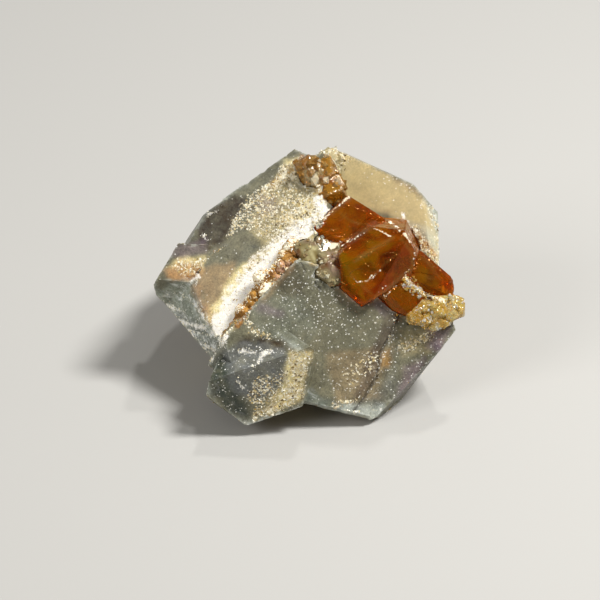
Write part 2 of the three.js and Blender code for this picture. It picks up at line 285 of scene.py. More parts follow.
def stroke(places, half_width, strength):
    """A brush stroke: the distance from its edge in mm, minus inside, and its strength."""
    def measure(spots):
        path = seen(places)
        gaps = [distance_to_line(spots, a, b) for a, b in zip(path[:-1], path[1:])]
        return np.min(gaps, axis=0) - half_width * MM_PER_DOT
    return measure, strength


def patch(places, strength):
    """A patch: the distance from its edge in mm, minus inside where crossings are odd."""
    def measure(spots):
        path = seen(places)
        gap = np.full(len(spots), 1e9)
        inside = np.zeros(len(spots), bool)
        for a, b in zip(path, np.roll(path, -1, axis=0)):
            gap = np.minimum(gap, distance_to_line(spots, a, b))
            spans = (a[1] > spots[:, 1]) != (b[1] > spots[:, 1])
            rise = b[1] - a[1]
            meets = a[0] + (spots[:, 1] - a[1]) * (b[0] - a[0]) / (rise if rise else 1e-9)
            inside ^= spans & (spots[:, 0] < meets)
        return np.where(inside, -gap, gap)
    return measure, strength


def covered(points, normals, zones, soft=0.6, wobble=0.7):
    """0 to 1: the strongest of several strokes and patches, faded over the soft edge."""
    spots = across_view(points)
    rough = layered_noise(points, 2.2, 4) * wobble
    total = np.zeros(len(points))
    for measure, strength in zones:
        total = np.maximum(total, strength * smooth_step(soft, -soft, measure(spots) + rough))
    return total * smooth_step(-0.05, 0.25, normals @ TOWARD)


print("a spot on the seen middle:", across_view(SEEN_MIDDLE[None]).round(2)[0])

# %% [markdown]
# Sand, snow-white calcite and rust come first. The crust covers the upper left crystal
# and a band on the lobe, the white runs along the seam with a painted highlight on its
# band, and rust fills the cracks.

# %% Zones of crust, snow and rust
GRAINY_ZONES = {
    "crust": [
        patch([(300, 153), (313, 160), (306, 176), (286, 184), (268, 190), (280, 168)], 0.95),
        patch([(262, 184), (300, 178), (322, 200), (330, 214), (303, 233), (284, 246),
               (268, 246), (262, 236), (244, 230), (228, 240), (224, 238), (240, 205)], 0.55),
        patch([(296, 196), (322, 200), (332, 214), (306, 232), (286, 242), (280, 222)], 0.9),
        stroke([(270, 186), (250, 204), (236, 222)], 5, 0.8),
        stroke([(262, 262), (246, 284), (231, 314)], 9, 0.55),
        patch([(167, 266), (180, 258), (204, 257), (232, 242), (216, 254), (201, 268),
               (188, 277), (174, 271)], 0.65),
        patch([(290, 352), (310, 353), (307, 380), (301, 400), (280, 411), (256, 418),
               (256, 410), (282, 397), (292, 378)], 0.95),
        patch([(258, 376), (290, 370), (288, 396), (262, 408), (246, 398)], 0.6),
        stroke([(405, 345), (430, 336)], 6, 0.6),
        stroke([(432, 205), (440, 232), (441, 262)], 4, 0.6),
        stroke([(322, 150), (334, 146), (346, 154), (338, 170)], 5, 0.6),
        stroke([(247, 316), (254, 330), (270, 336)], 4, 0.65),
        stroke([(335, 404), (358, 398)], 4, 0.6),
        stroke([(415, 232), (430, 256), (442, 266)], 5, 0.7),
        stroke([(350, 376), (372, 360)], 10, 0.4),
    ],
    "snow": [
        # The first three strokes are the long white band by the seam: white crust with a painted
        # highlight on it.
        stroke([(312, 222), (303, 230), (286, 244), (273, 257), (258, 272), (244, 290),
                (234, 306), (228, 318)], 8, 1.0),
        stroke([(298, 230), (268, 256), (242, 286), (226, 314)], 13, 0.5),
        stroke([(252, 282), (238, 300), (226, 314), (220, 320)], 7, 0.8),
        stroke([(318, 202), (326, 214), (312, 228)], 6, 0.75),
        patch([(322, 238), (346, 238), (338, 250), (328, 250)], 0.9),
        stroke([(288, 236), (304, 224), (318, 208)], 5, 0.6),
        stroke([(240, 351), (254, 352)], 2.0, 0.62),
        stroke([(262, 352), (272, 350)], 1.8, 0.6),
        stroke([(262, 356), (257, 363), (249, 373)], 2.4, 0.6),
        stroke([(236, 376), (244, 388)], 1.6, 0.5),
        stroke([(156, 302), (172, 309), (190, 312)], 2.2, 0.66),
        stroke([(162, 312), (180, 322), (204, 328)], 2.6, 0.7),
        stroke([(166, 320), (188, 330), (210, 336)], 1.8, 0.66),
        stroke([(178, 332), (196, 338), (214, 352)], 2.4, 0.7),
        stroke([(190, 344), (206, 350), (212, 358)], 1.8, 0.66),
        stroke([(154, 298), (168, 324), (208, 359)], 1.6, 0.9),
        stroke([(182, 296), (198, 308), (208, 326)], 2.0, 0.6),
        stroke([(214, 332), (226, 326), (222, 342)], 5, 0.66),
        stroke([(160, 296), (172, 294), (186, 292)], 1.6, 0.5),
        stroke([(402, 212), (405, 222), (409, 236)], 1.1, 1.0),
        stroke([(188, 230), (204, 236), (208, 240)], 1.6, 0.52),
        stroke([(208, 214), (216, 212)], 1.5, 0.55),
        stroke([(190, 282), (197, 276), (196, 286)], 1.5, 0.6),
        stroke([(344, 410), (362, 412), (380, 408)], 1.6, 0.55),
        stroke([(350, 403), (357, 400)], 2.0, 0.75),
    ],
    "ochre": [
        stroke([(166, 277), (182, 280), (194, 274)], 2.5, 0.45),
        stroke([(305, 226), (290, 240), (268, 250)], 2, 0.55),
        stroke([(300, 246), (284, 262), (266, 284), (250, 304), (238, 324)], 4, 0.8),
        stroke([(235, 241), (214, 251), (199, 269), (190, 280)], 1.4, 0.6),
        patch([(385, 354), (389, 354), (390, 364), (386, 365)], 0.5),
        stroke([(414, 234), (432, 252)], 3.5, 0.75),
        stroke([(398, 322), (396, 312), (440, 318)], 3, 0.55),
        stroke([(302, 158), (318, 175), (340, 200)], 7, 0.6),
        stroke([(196, 290), (202, 312)], 2, 0.5),
    ],
}
print("grainy:", ", ".join(GRAINY_ZONES))

# %% [markdown]
# The warm tints are iron in the fluorite: butter and cream beside the white band and
# on the upper right crystal, gold in a few spots, beige and apricot near old breaks.

# %% Zones of warm tints
WARM_ZONES = {
    "butter": [
        stroke([(300, 238), (266, 262), (243, 290), (228, 316)], 13, 1.0),
        patch([(318, 146), (334, 143), (370, 160), (394, 178), (396, 212), (372, 212),
               (344, 202), (332, 182), (322, 160)], 0.65),
        patch([(384, 172), (424, 198), (440, 232), (440, 262), (424, 248), (388, 216)], 0.55),
        patch([(300, 153), (322, 195), (328, 215), (262, 250), (250, 225), (262, 190)], 0.45),
        patch([(168, 267), (182, 260), (206, 257), (201, 269), (182, 275)], 1.0),
        patch([(290, 350), (312, 352), (304, 400), (256, 416), (270, 398), (290, 380)], 0.6),
        patch([(402, 330), (434, 328), (430, 352), (402, 356)], 0.25),
    ],
    "gold": [
        patch([(383, 352), (388, 350), (390, 360), (388, 367), (384, 365)], 0.55),
        stroke([(412, 232), (424, 242), (436, 255)], 2.6, 0.9),
        stroke([(273, 184), (282, 177), (292, 171)], 2.4, 0.9),
        stroke([(356, 206), (380, 219), (398, 232)], 1.4, 0.6),
    ],
    "cream": [
        patch([(243, 264), (258, 266), (268, 252), (286, 240), (250, 286), (232, 310),
               (222, 324), (206, 319), (210, 308), (222, 296), (228, 280)], 1.0),
        patch([(300, 200), (320, 198), (328, 214), (304, 230), (296, 220)], 0.7),
        patch([(286, 160), (306, 156), (308, 168), (284, 176)], 0.7),
        patch([(290, 354), (308, 354), (304, 384), (298, 400), (270, 412), (282, 392)], 0.9),
        stroke([(174, 264), (188, 261), (204, 258)], 2.4, 0.8),
    ],
    "beige": [
        patch([(197, 274), (216, 262), (236, 262), (232, 300), (224, 318), (208, 320)], 0.9),
        patch([(325, 352), (392, 345), (378, 398), (335, 404)], 0.45),
        patch([(345, 150), (424, 190), (438, 240), (400, 222), (346, 200)], 0.75),
    ],
    "apricot": [
        patch([(163, 270), (178, 262), (200, 264), (202, 270), (192, 280), (172, 282)], 1.0),
        stroke([(196, 288), (202, 306), (212, 318)], 5, 0.7),
        stroke([(290, 264), (276, 284), (264, 298)], 3, 0.4),
    ],
}
print("warm:", ", ".join(WARM_ZONES))

# %% [markdown]
# The cool and dark tints are clear stone seen deep: smoke in the left crystal, slate
# and moss in the lobe, mauve near the right rim. The thin dark lines, the long step and
# its foot are painted shade, in gaps, under ledges and beside the step.

# %% Zones of shade
SHADED_ZONES = {
    "smoke": [
        patch([(196, 242), (198, 216), (216, 202), (236, 196), (246, 200), (232, 226),
               (224, 244), (206, 250)], 0.9),
        patch([(240, 342), (250, 334), (286, 337), (296, 351), (262, 354), (238, 350)], 0.8),
        patch([(278, 268), (296, 262), (308, 284), (300, 296), (276, 292)], 0.45),
        patch([(228, 260), (244, 236), (268, 240), (258, 264)], 0.28),
        patch([(296, 184), (312, 186), (318, 196), (300, 200)], 0.5),
        patch([(414, 352), (444, 340), (420, 384), (400, 396)], 0.4),
        stroke([(394, 318), (387, 334), (374, 354), (371, 378), (352, 402)], 5, 0.45),
    ],
    "slate": [
        patch([(222, 352), (246, 342), (284, 346), (292, 364), (286, 380), (262, 398),
               (236, 396)], 0.9),
        patch([(395, 366), (378, 384), (362, 404), (384, 408), (402, 390)], 0.45),
        patch([(156, 304), (206, 326), (222, 346), (208, 360)], 0.6),
    ],
    "deep": [
        patch([(206, 388), (214, 358), (228, 350), (238, 376), (248, 416), (232, 414)], 1.0),
        patch([(302, 386), (344, 402), (342, 414), (304, 406)], 0.55),
        patch([(424, 346), (446, 346), (424, 376), (410, 386)], 0.6),
    ],
    # Thin dark lines: painted shade in gaps, under ledges and where crystals touch the face.
    "dark": [
        stroke([(234, 241), (214, 252), (199, 270), (190, 280)], 0.5, 0.6),
        stroke([(234, 374), (240, 388), (247, 404)], 0.4, 0.55),
        stroke([(262, 298), (275, 284), (290, 264)], 0.8, 0.55),
        stroke([(346, 292), (362, 306), (374, 300)], 1.4, 0.65),
        stroke([(396, 306), (412, 312)], 1.2, 0.6),
        stroke([(346, 406), (353, 408)], 1.4, 0.7),
    ],
    "moss": [
        patch([(238, 262), (244, 244), (262, 244), (258, 256), (250, 264)], 0.25),
        patch([(154, 294), (172, 280), (192, 280), (208, 322), (222, 346), (210, 358)], 0.9),
        patch([(250, 298), (300, 296), (318, 330), (300, 352), (256, 344)], 0.3),
        patch([(302, 386), (344, 404), (344, 416), (304, 406)], 0.9),
        patch([(424, 220), (442, 226), (442, 264), (430, 250)], 0.6),
    ],
    "mauve": [
        patch([(258, 196), (276, 194), (278, 214), (258, 216)], 0.5),
        patch([(428, 318), (454, 320), (440, 352), (426, 348)], 0.8),
        patch([(404, 366), (424, 358), (412, 388), (396, 398)], 0.6),
        stroke([(262, 308), (280, 314)], 4, 0.6),
        patch([(368, 304), (384, 290), (398, 308), (384, 316)], 0.6),
        patch([(392, 216), (404, 218), (404, 230), (394, 228)], 0.3),
        patch([(170, 246), (206, 238), (206, 254), (182, 257), (168, 256)], 0.55),
    ],
    # Step lines: grooves in the relief, also painted dark as their shade.
    "step": [
        stroke([(397, 314), (391, 333), (380, 352), (376, 376), (363, 399),
                (354, 410)], 1.3, 1.0),
        stroke([(301, 263), (306, 273)], 0.7, 0.8),
        stroke([(315, 272), (316, 285), (320, 289)], 0.9, 1.0),
    ],
    # Painted shade beside the long step.
    "shade beside step": [
        stroke([(392, 318), (386, 334), (374, 352), (369, 376), (356, 398)], 6, 1.0),
        stroke([(392, 352), (386, 372), (381, 400)], 3, 0.5),
    ],
}
print("shaded:", ", ".join(SHADED_ZONES))

# %% [markdown]
# Thin rims are painted paler for the light that shines through them, a haze evens out
# two large faces, the stone is paler where the ambers sit, and some faces get painted
# glints.

# %% Zones of light
LIT_ZONES = {
    # Painted glow of light shining through thin rims.
    "rim_glow": [
        patch([(342, 402), (384, 404), (380, 420), (340, 416)], 0.9),
        stroke([(207, 385), (222, 409), (246, 424), (281, 415)], 1.4, 0.8),
        stroke([(433, 206), (441, 234), (442, 264)], 3.5, 0.9),
        stroke([(400, 175), (417, 184), (433, 206)], 2.5, 0.7),
        patch([(396, 222), (436, 230), (442, 262), (424, 244)], 0.5),
        stroke([(153, 288), (164, 312), (184, 336), (208, 358)], 3, 0.8),
        stroke([(196, 226), (200, 214), (232, 190), (258, 174)], 2, 0.6),
        stroke([(342, 414), (320, 407), (304, 403)], 2, 0.6),
        stroke([(276, 332), (300, 350)], 2, 0.5),
    ],
    "haze": [
        patch([(336, 156), (398, 178), (434, 212), (438, 240), (396, 222), (346, 200),
               (334, 178)], 0.7),
        patch([(320, 290), (380, 300), (376, 350), (330, 360), (300, 330)], 0.25),
    ],
    "seat": [
        patch([(322, 226), (349, 202), (384, 222), (408, 245), (448, 278), (448, 288),
               (418, 302), (364, 296), (346, 280), (346, 256), (336, 248)], 1.0),
        patch([(306, 162), (326, 158), (340, 196), (330, 202), (308, 182)], 0.8),
        patch([(298, 250), (326, 248), (336, 258), (330, 270), (312, 264)], 0.7),
    ],
    # Faces that get painted glints.
    "sparkle": [
        patch([(268, 296), (300, 266), (345, 284), (366, 306), (350, 330), (300, 322)], 1.7),
        patch([(262, 300), (300, 262), (345, 282), (366, 306), (400, 310), (440, 320),
               (450, 335), (420, 390), (380, 410), (330, 404), (312, 350), (262, 340)], 1.0),
        patch([(206, 345), (300, 345), (300, 410), (246, 424), (206, 390)], 0.9),
        stroke([(392, 180), (424, 196), (438, 222), (441, 262)], 8, 1.0),
        patch([(160, 300), (210, 300), (224, 350), (206, 356)], 0.8),
    ],
}
print("lit:", ", ".join(LIT_ZONES))

# %% [markdown]
# Each zone is now measured at every point of the skin, once, as a value from 0 to 1.

# %% The zones on the skin
ZONES = GRAINY_ZONES | WARM_ZONES | SHADED_ZONES | LIT_ZONES
masks = {name: covered(skin_points, skin_normals, zones) for name, zones in ZONES.items()}
for name, mask in masks.items():
    print("zone", name, "covers", round(float((mask > 0.3).mean()) * 100, 1), "% of the points")

# %% [markdown]
# ## Relief of the fluorite
#
# A large fluorite face is satin because it swells and dips by less than a tenth of a
# millimetre. The crust is a druse, a carpet of tiny octahedra. Where a crystal has
# broken, the surface is feathery, with long shallow ripples. Edges are nicked from
# handling, and in places the stone is etched to small angular pits.

# %% Relief of the fluorite
SWELL = 0.09
SWELL_SIZE = 3.2
DRUSE_SIZE = 0.85
DRUSE_HEIGHT = 0.22
RIPPLE_SIZE = 0.7
RIPPLE_HEIGHT = 0.16
NICK_SIZE = 1.6
NICK_DEPTH = 0.3
PIT_SIZE = 1.7
PIT_DEPTH = 0.16
STEP_DEPTH = 0.22
EDGE_RANGE = (0.02, 0.09)

stands_out = ridge(skin_points, skin_faces, skin_normals)
edge = smooth_step(*EDGE_RANGE, stands_out)
crease = smooth_step(*EDGE_RANGE, -stands_out)
broken = covered(skin_points, skin_normals, [
    patch([(150, 296), (172, 281), (192, 280), (208, 322), (224, 346), (208, 362)], 1.0),
    patch([(300, 384), (346, 404), (384, 404), (380, 424), (300, 410)], 0.35),
    patch([(206, 388), (214, 362), (226, 352), (236, 390), (250, 426)], 0.12),
])
away_side = smooth_step(0.1, -0.2, skin_normals @ TOWARD)
step_line = covered(skin_points, skin_normals, ZONES["step"], soft=0.12, wobble=0.12)
masks["step"] = step_line
back_druse = away_side * smooth_step(0.05, 0.35, layered_noise(skin_points, 7.0, 3, 3.0))
druse = np.maximum(masks["crust"], back_druse * 0.9)

swell = -SWELL * (0.5 + 0.5 * layered_noise(skin_points, SWELL_SIZE, 3, 1.7))
pyramids = small_pyramids(skin_points, DRUSE_SIZE)
bumps = DRUSE_HEIGHT * druse * (pyramids - 0.6)
slant = skin_points @ np.array([0.7, 0.2, 0.7])
across = np.stack([slant, slant * 0.2, skin_points[:, 0] * 0.3], axis=1)
ripples = soft_noise(across, RIPPLE_SIZE)
feather = RIPPLE_HEIGHT * np.maximum(broken, away_side * 0.5) * (ripples - 1)
nicked = smooth_step(0.05, 0.6, layered_noise(skin_points, NICK_SIZE, 3, 5.1))
nicks = -NICK_DEPTH * edge * nicked
etched = smooth_step(0.1, 0.4, layered_noise(skin_points, 6.0, 2, 8.6)) * (1 - edge)
pits = -PIT_DEPTH * etched * smooth_step(0.55, 0.95, small_pyramids(skin_points, PIT_SIZE))
groove = -STEP_DEPTH * step_line
off_base = smooth_step(0.1, 0.5, skin_points[:, 2])
relief = np.minimum(swell + bumps + feather + nicks + pits + groove, 0) * off_base
skin_moved = np.clip(skin_points + skin_normals * relief[:, None], CAD_LOW, CAD_HIGH)
print("relief in mm, least and most:", relief.min().round(2), relief.max().round(2))

# %% [markdown]
# The skin now takes the solid's place. On the side that the photo doesn't show, noise
# chooses among the same tints, so that the specimen looks the same stone all round.

# %% The fluorite piece
fluorite_piece = mesh_piece("fluorite_skin", skin_moved, skin_faces)
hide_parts("fluorite_octahedra")
masks["crust"] = np.maximum(masks["crust"], back_druse * 0.6)
masks["ochre"] = np.maximum(masks["ochre"], crease * 0.5)
BACK_TONES = [("moss", 9.0, 11.3, 0.8), ("beige", 8.0, 17.9, 0.7), ("smoke", 10.0, 23.1, 0.6),
              ("butter", 6.0, 29.7, 0.6), ("cream", 5.0, 47.3, 0.5),
              ("gold", 3.0, 61.7, 0.3), ("mauve", 8.0, 35.2, 0.4), ("ochre", 4.0, 41.6, 0.5)]
for name, size, shift, strength in BACK_TONES:
    wide = layered_noise(skin_points, size, 4, shift)
    behind = away_side * strength * smooth_step(0.05, 0.4, wide)
    masks[name] = np.maximum(masks[name], behind)
# Edges on the back get the painted rim glow too.
masks["rim_glow"] = np.maximum(masks["rim_glow"], edge * away_side * 0.5)
for name, mask in masks.items():
    keep_values(fluorite_piece, name, mask)
unrimmed = covered(skin_points, skin_normals, [
    stroke([(206, 380), (240, 367), (280, 356), (312, 348)], 5, 1.0),
    stroke([(396, 316), (386, 350), (372, 400)], 4, 1.0),
], soft=0.3, wobble=0.2)
keep_values(fluorite_piece, "edge", edge * (1 - unrimmed))
behind_broken = away_side * smooth_step(0.1, 0.5, layered_noise(skin_points, 9.0, 2, 53.1))
keep_values(fluorite_piece, "feathers", np.maximum(broken, behind_broken * 0.45))
print("broken points:", int((broken > 0.5).sum()))

# %% [markdown]
# ## The amber crystals
#
# The amber crystals are clear, so their look is made by light that goes in, crosses
# some millimetres of coloured stone and comes out. They keep the CAD solids' flat faces,
# a hair larger to close the seat around them, with nicked rims and fine growth steps.

# %% Zones of the amber crystals
AMBER_ZONES = {
    # Painted glow: the amber is drawn brighter orange where light shines through thin parts.
    "glow": [
        stroke([(330, 222), (346, 208), (352, 200)], 4, 0.9),
        stroke([(352, 200), (376, 210), (392, 220)], 2, 0.7),
        stroke([(320, 230), (344, 238)], 3, 0.6),
        stroke([(394, 238), (406, 246), (408, 262), (396, 276)], 2.5, 0.8),
        stroke([(344, 286), (352, 298), (364, 303)], 2, 0.7),
        stroke([(350, 256), (362, 248)], 2.5, 0.7),
        patch([(384, 302), (394, 288), (412, 294), (420, 308), (402, 314)], 1.0),
        stroke([(414, 252), (430, 262), (446, 278)], 2, 0.6),
        patch([(388, 279), (394, 279), (393, 285), (388, 284)], 1.0),
    ],
    "veil": [
        stroke([(354, 262), (366, 254), (380, 246), (392, 238)], 1.0, 1.0),
        stroke([(346, 266), (352, 276), (366, 290), (374, 296)], 0.8, 0.8),
        stroke([(366, 282), (382, 266), (396, 254)], 0.8, 0.7),
        stroke([(340, 214), (350, 222), (366, 226)], 0.8, 0.5),
        stroke([(412, 252), (426, 262), (440, 280)], 0.8, 0.5),
        stroke([(401, 240), (410, 252), (412, 268)], 1.2, 0.8),
        stroke([(372, 300), (392, 284), (410, 268)], 1.0, 0.7),
        stroke([(351, 196), (372, 206), (398, 222)], 1.0, 0.7),
    ],
    "brown": [
        patch([(380, 254), (398, 248), (402, 262), (388, 274), (378, 270)], 0.9),
        patch([(356, 266), (370, 262), (380, 274), (372, 284), (360, 276)], 0.6),
        stroke([(338, 264), (344, 282), (358, 298)], 3, 0.7),
        patch([(324, 226), (340, 224), (372, 234), (350, 240), (330, 236)], 0.4),
        patch([(428, 272), (446, 286), (436, 296), (424, 284)], 0.6),
        stroke([(410, 246), (424, 248), (452, 276)], 2.5, 0.6),
    ],
    "olive": [
        patch([(340, 252), (352, 258), (376, 256), (374, 270), (360, 288), (366, 301),
               (350, 292), (340, 280)], 1.0),
        patch([(366, 240), (392, 244), (388, 254), (366, 258)], 0.6),
        patch([(416, 264), (428, 268), (440, 286), (430, 290), (416, 278)], 0.45),
        stroke([(392, 306), (416, 306)], 3, 0.5),
    ],
    "red": [
        patch([(390, 250), (404, 240), (414, 262), (398, 277), (366, 304), (376, 284),
               (386, 264)], 0.9),
        patch([(340, 204), (362, 206), (388, 222), (372, 233), (350, 226)], 0.8),
        patch([(410, 244), (424, 248), (452, 274), (453, 292), (444, 290), (424, 264)], 0.9),
        patch([(346, 238), (368, 232), (372, 238), (352, 252)], 0.6),
    ],
    # The bevel is painted pale: frost, with a painted highlight on it.
    "pale_bevel_and_highlight": [
        stroke([(333, 251), (350, 241), (366, 231), (374, 226)], 2.4, 0.9),
        stroke([(317, 227), (333, 212), (350, 198)], 1.6, 0.7),
        stroke([(366, 303), (384, 290), (408, 270)], 1.4, 0.6),
    ],
    "frost_and_highlight": [
        patch([(323, 239), (334, 243), (347, 239), (331, 251)], 0.85),
        stroke([(331, 251), (346, 243), (368, 231), (375, 228)], 1.2, 0.55),
        stroke([(318, 225), (333, 211), (349, 197)], 1.1, 0.68),
        stroke([(374, 229), (389, 237)], 1.1, 0.85),
        stroke([(390, 223), (396, 228), (399, 232)], 1.2, 0.62),
        # These two strokes are white flecks with a painted highlight on them.
        stroke([(404, 235), (409, 243)], 1.5, 0.85),
        stroke([(410, 245), (414, 254), (414, 266)], 1.2, 0.52),
        stroke([(411, 268), (398, 277), (382, 289), (367, 302)], 0.9, 0.5),
        # The wavy stroke is white crust with a painted highlight on it.
        stroke([(349, 276), (357, 282), (366, 281), (374, 276), (380, 270)], 1.5, 0.55),
        stroke([(404, 278), (412, 287), (425, 294), (444, 302)], 3.0, 0.62),
        stroke([(385, 296), (392, 288), (398, 284)], 2, 0.42),
    ],
}
print("amber zones:", ", ".join(AMBER_ZONES))

# %% [markdown]
# The small crystals and the seam's earth have zones of their own: olive and pink
# stone, pale cleavage lines, painted shade in the gaps between crystals, and frost
# where sand sticks, with a painted highlight on some of it.

# %% Zones of the small crystals and the earth
PALE_ZONES = {
    "olive": [
        patch([(300, 246), (312, 244), (318, 256), (312, 272), (302, 268)], 1.0),
    ],
    "brown": [
        patch([(317, 257), (330, 257), (331, 270), (318, 272)], 0.9),
        patch([(290, 252), (301, 250), (301, 266), (291, 264)], 0.8),
        stroke([(324, 246), (338, 252)], 2, 0.6),
    ],
    "pink": [
        patch([(326, 252), (343, 256), (343, 276), (330, 276)], 0.9),
        stroke([(306, 240), (322, 244)], 3, 0.6),
    ],
    "veil": [
        stroke([(303, 250), (311, 266)], 0.7, 1.0),
        stroke([(308, 247), (315, 262)], 0.7, 1.0),
        # This stroke is a painted highlight along a rim.
        stroke([(318, 284), (326, 289), (336, 284)], 1.2, 1.0),
        stroke([(311, 249), (315, 249)], 1.2, 1.0),
        stroke([(322, 262), (327, 260)], 1.0, 0.9),
    ],
    # Painted shade in the gaps between the small crystals.
    "dark": [
        stroke([(302, 266), (306, 273), (316, 272)], 1.4, 1.0),
        stroke([(316, 272), (316, 284), (319, 288)], 1.6, 1.0),
        stroke([(318, 256), (316, 268)], 0.8, 0.7),
        stroke([(331, 256), (330, 272), (342, 282)], 0.8, 0.6),
    ],
    "frost_and_highlight": [
        patch([(323, 239), (334, 243), (347, 239), (331, 251)], 0.9),
        stroke([(320, 243), (326, 250)], 1.5, 0.5),
    ],
}
GOLDEN_ZONES = {
    "olive": [
        patch([(322, 180), (342, 182), (344, 206), (326, 206)], 1.0),
        stroke([(318, 158), (330, 172)], 4, 0.7),
    ],
    "pink": [
        patch([(304, 168), (319, 168), (321, 188), (306, 190)], 0.9),
    ],
    "brown": [
        patch([(298, 152), (312, 154), (314, 166), (300, 168)], 0.8),
        stroke([(322, 178), (332, 182)], 2, 0.8),
    ],
    "frost_and_highlight": [
        stroke([(312, 160), (318, 166)], 2, 0.5),
        stroke([(324, 182), (330, 180)], 1.6, 0.55),
        stroke([(334, 196), (341, 200)], 1.2, 0.5),
    ],
}
EARTH_ZONES = {
    "moss": [
        stroke([(240, 326), (232, 336), (222, 352)], 8, 1.0),
    ],
    "pink": [
        patch([(278, 264), (292, 262), (292, 272), (280, 286), (274, 284)], 1.0),
    ],
    "snow": [
        # This stroke follows the long white band: white crust with a painted highlight on it.
        stroke([(303, 229), (286, 243), (273, 257), (262, 271), (248, 286),
                (236, 307)], 7, 0.55),
        patch([(262, 284), (275, 281), (277, 290), (270, 296), (262, 293)], 1.0),
    ],
    "dark": [
        patch([(289, 240), (304, 240), (304, 262), (290, 262)], 0.6),
        patch([(258, 264), (278, 262), (280, 274), (266, 282), (257, 276)], 0.7),
        stroke([(300, 262), (284, 282), (262, 306), (232, 340)], 2, 0.6),
    ],
}
print("small zones:", len(PALE_ZONES) + len(GOLDEN_ZONES) + len(EARTH_ZONES))

# %% [markdown]
# A crystal's skin is pushed out a little to close the seat around it. Growth leaves
# shallow steps where a broad noise passes whole levels, the rims are nicked, and only
# the earth is lumpy.

# %% Crystal skins
SEAT_CLOSING = 0.22
RIM_RANGE = (0.01, 0.06)
CREASE_RANGE = (0.01, 0.07)
LEVEL_SIZE = 4.5
LEVEL_COUNT = 3
LEVEL_SHARE = 0.35
CHIP_SIZE = 0.9
LUMP_SIZE = 1.5


def crystal_skin(node_name, name, depth, steps, nick, shift, zones=AMBER_ZONES, lumpy=0.0):
    """A fine skin pushed out a little, with stepped growth, nicked rims and lumps."""
    points, faces = fine_skin(node_name, depth, CRYSTAL_REACH)
    normals = point_normals(points, faces)
    out = ridge(points, faces, normals)
    rim = smooth_step(*RIM_RANGE, out)
    level = layered_noise(points, LEVEL_SIZE, 2, shift) * LEVEL_COUNT
    stepped = -steps * (level - np.floor(level) < LEVEL_SHARE)
    chipped = smooth_step(-0.2, 0.6, layered_noise(points, CHIP_SIZE, 2, shift + 2))
    nicks = -nick * rim * chipped
    lumps = lumpy * layered_noise(points, LUMP_SIZE, 4, shift + 4)
    moved = points + normals * (SEAT_CLOSING + stepped + nicks + lumps)[:, None]
    piece = mesh_piece(name, np.clip(moved, CAD_LOW, CAD_HIGH), faces)
    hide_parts(node_name)
    keep_values(piece, "edge", rim)
    keep_values(piece, "crease", smooth_step(*CREASE_RANGE, -out))
    for zone, shapes in zones.items():
        keep_values(piece, zone, covered(points, normals, shapes, soft=0.35, wobble=0.35))
    print(name, len(faces) * 2, "triangles")
    return piece


amber_pieces = [
    crystal_skin("amber_crystal_middle", "middle_amber_crystal", depth=7, steps=0.05,
                 nick=0.18, shift=0.4),
    crystal_skin("amber_crystal_upper", "upper_amber_crystal", depth=7, steps=0.04,
                 nick=0.15, shift=1.1),
    crystal_skin("amber_crystal_right", "right_amber_crystal", depth=6, steps=0.05,
                 nick=0.18, shift=2.6),
    crystal_skin("amber_crystal_lower", "lower_amber_crystal", depth=6, steps=0.05,
                 nick=0.15, shift=3.9),
]
golden_piece = crystal_skin("amber_cluster_top", "golden_crystals", depth=6, steps=0.03,
                            nick=0.08, shift=4.2, zones=GOLDEN_ZONES)
pale_piece = crystal_skin("pale_crystal_cluster", "pale_crystals", depth=6, steps=0.03,
                          nick=0.08, shift=5.5, zones=PALE_ZONES)
crust_piece = crystal_skin("yellow_crust", "yellow_crust_crystals", depth=6, steps=0.05,
                           nick=0.2, shift=6.3)
earth_piece = crystal_skin("iron_oxide_seam", "iron_oxide_earth", depth=7, steps=0.08,
                           nick=0.1, shift=7.7, zones=EARTH_ZONES, lumpy=0.55)

# %% [markdown]
# ## Loose grains of the crust
#
# Up close the crust is thousands of tiny octahedra, a third of a millimetre across, that
# grew at every angle. They are made together: one unit octahedron, a turn and a size for
# each grain, and one product of arrays that puts all their corners in place. Each is
# set on a point of the skin, more often where its chance is high.

# %% Making grains
TIPS = np.array([[1, 0, 0], [-1, 0, 0], [0, 1, 0], [0, -1, 0], [0, 0, 1], [0, 0, -1]], float)
TIP_FACES = np.array([[0, 2, 4], [2, 1, 4], [1, 3, 4], [3, 0, 4],
                      [2, 0, 5], [1, 2, 5], [3, 1, 5], [0, 3, 5]])


def random_turns(count, random):
    """Turning matrices from random quaternions of length one, by the usual products."""
    four = random.normal(size=(count, 4))
    w, x, y, z = (four / np.linalg.norm(four, axis=1, keepdims=True)).T
    rows = [[1 - 2 * (y * y + z * z), 2 * (x * y - w * z), 2 * (x * z + w * y)],
            [2 * (x * y + w * z), 1 - 2 * (x * x + z * z), 2 * (y * z - w * x)],
            [2 * (x * z - w * y), 2 * (y * z + w * x), 1 - 2 * (x * x + y * y)]]
    return np.array(rows).transpose(2, 0, 1)


def grains(name, points, normals, chance, count, least, most, seed, sunk=0.35):
    """Octahedra on chosen points: turned, sized and sunk a part of their size."""
    random = np.random.default_rng(seed)
    weight = chance / chance.sum()
    count = min(count, int((chance > 0.01).sum()))
    chosen = random.choice(len(points), count, replace=False, p=weight)
    size = least + (most - least) * random.random(count) ** 2
    stretch = 1 + 0.5 * random.random((count, 1, 3))
    turned = np.einsum("nij,nkj->nki", random_turns(count, random), TIPS * stretch)
    middle = points[chosen] - normals[chosen] * (size * sunk)[:, None]
    corners = middle[:, None, :] + turned * (size / 2)[:, None, None]
    corners = np.clip(corners.reshape(-1, 3), CAD_LOW, CAD_HIGH)
    faces = (TIP_FACES[None] + 6 * np.arange(count)[:, None, None]).reshape(-1, 3)
    piece = mesh_piece(name, corners, faces)
    keep_values(piece, "tone", np.repeat(random.random(count), 6))
    print(name, count, "grains")
    return piece


print("an octahedral grain has", len(TIP_FACES), "triangles")

# %% [markdown]
# On the fluorite, cream grains lie on the crust but not under the snow, with bare
# places where a noise is low. White grains lie on the snow and rusty ones in the seam.

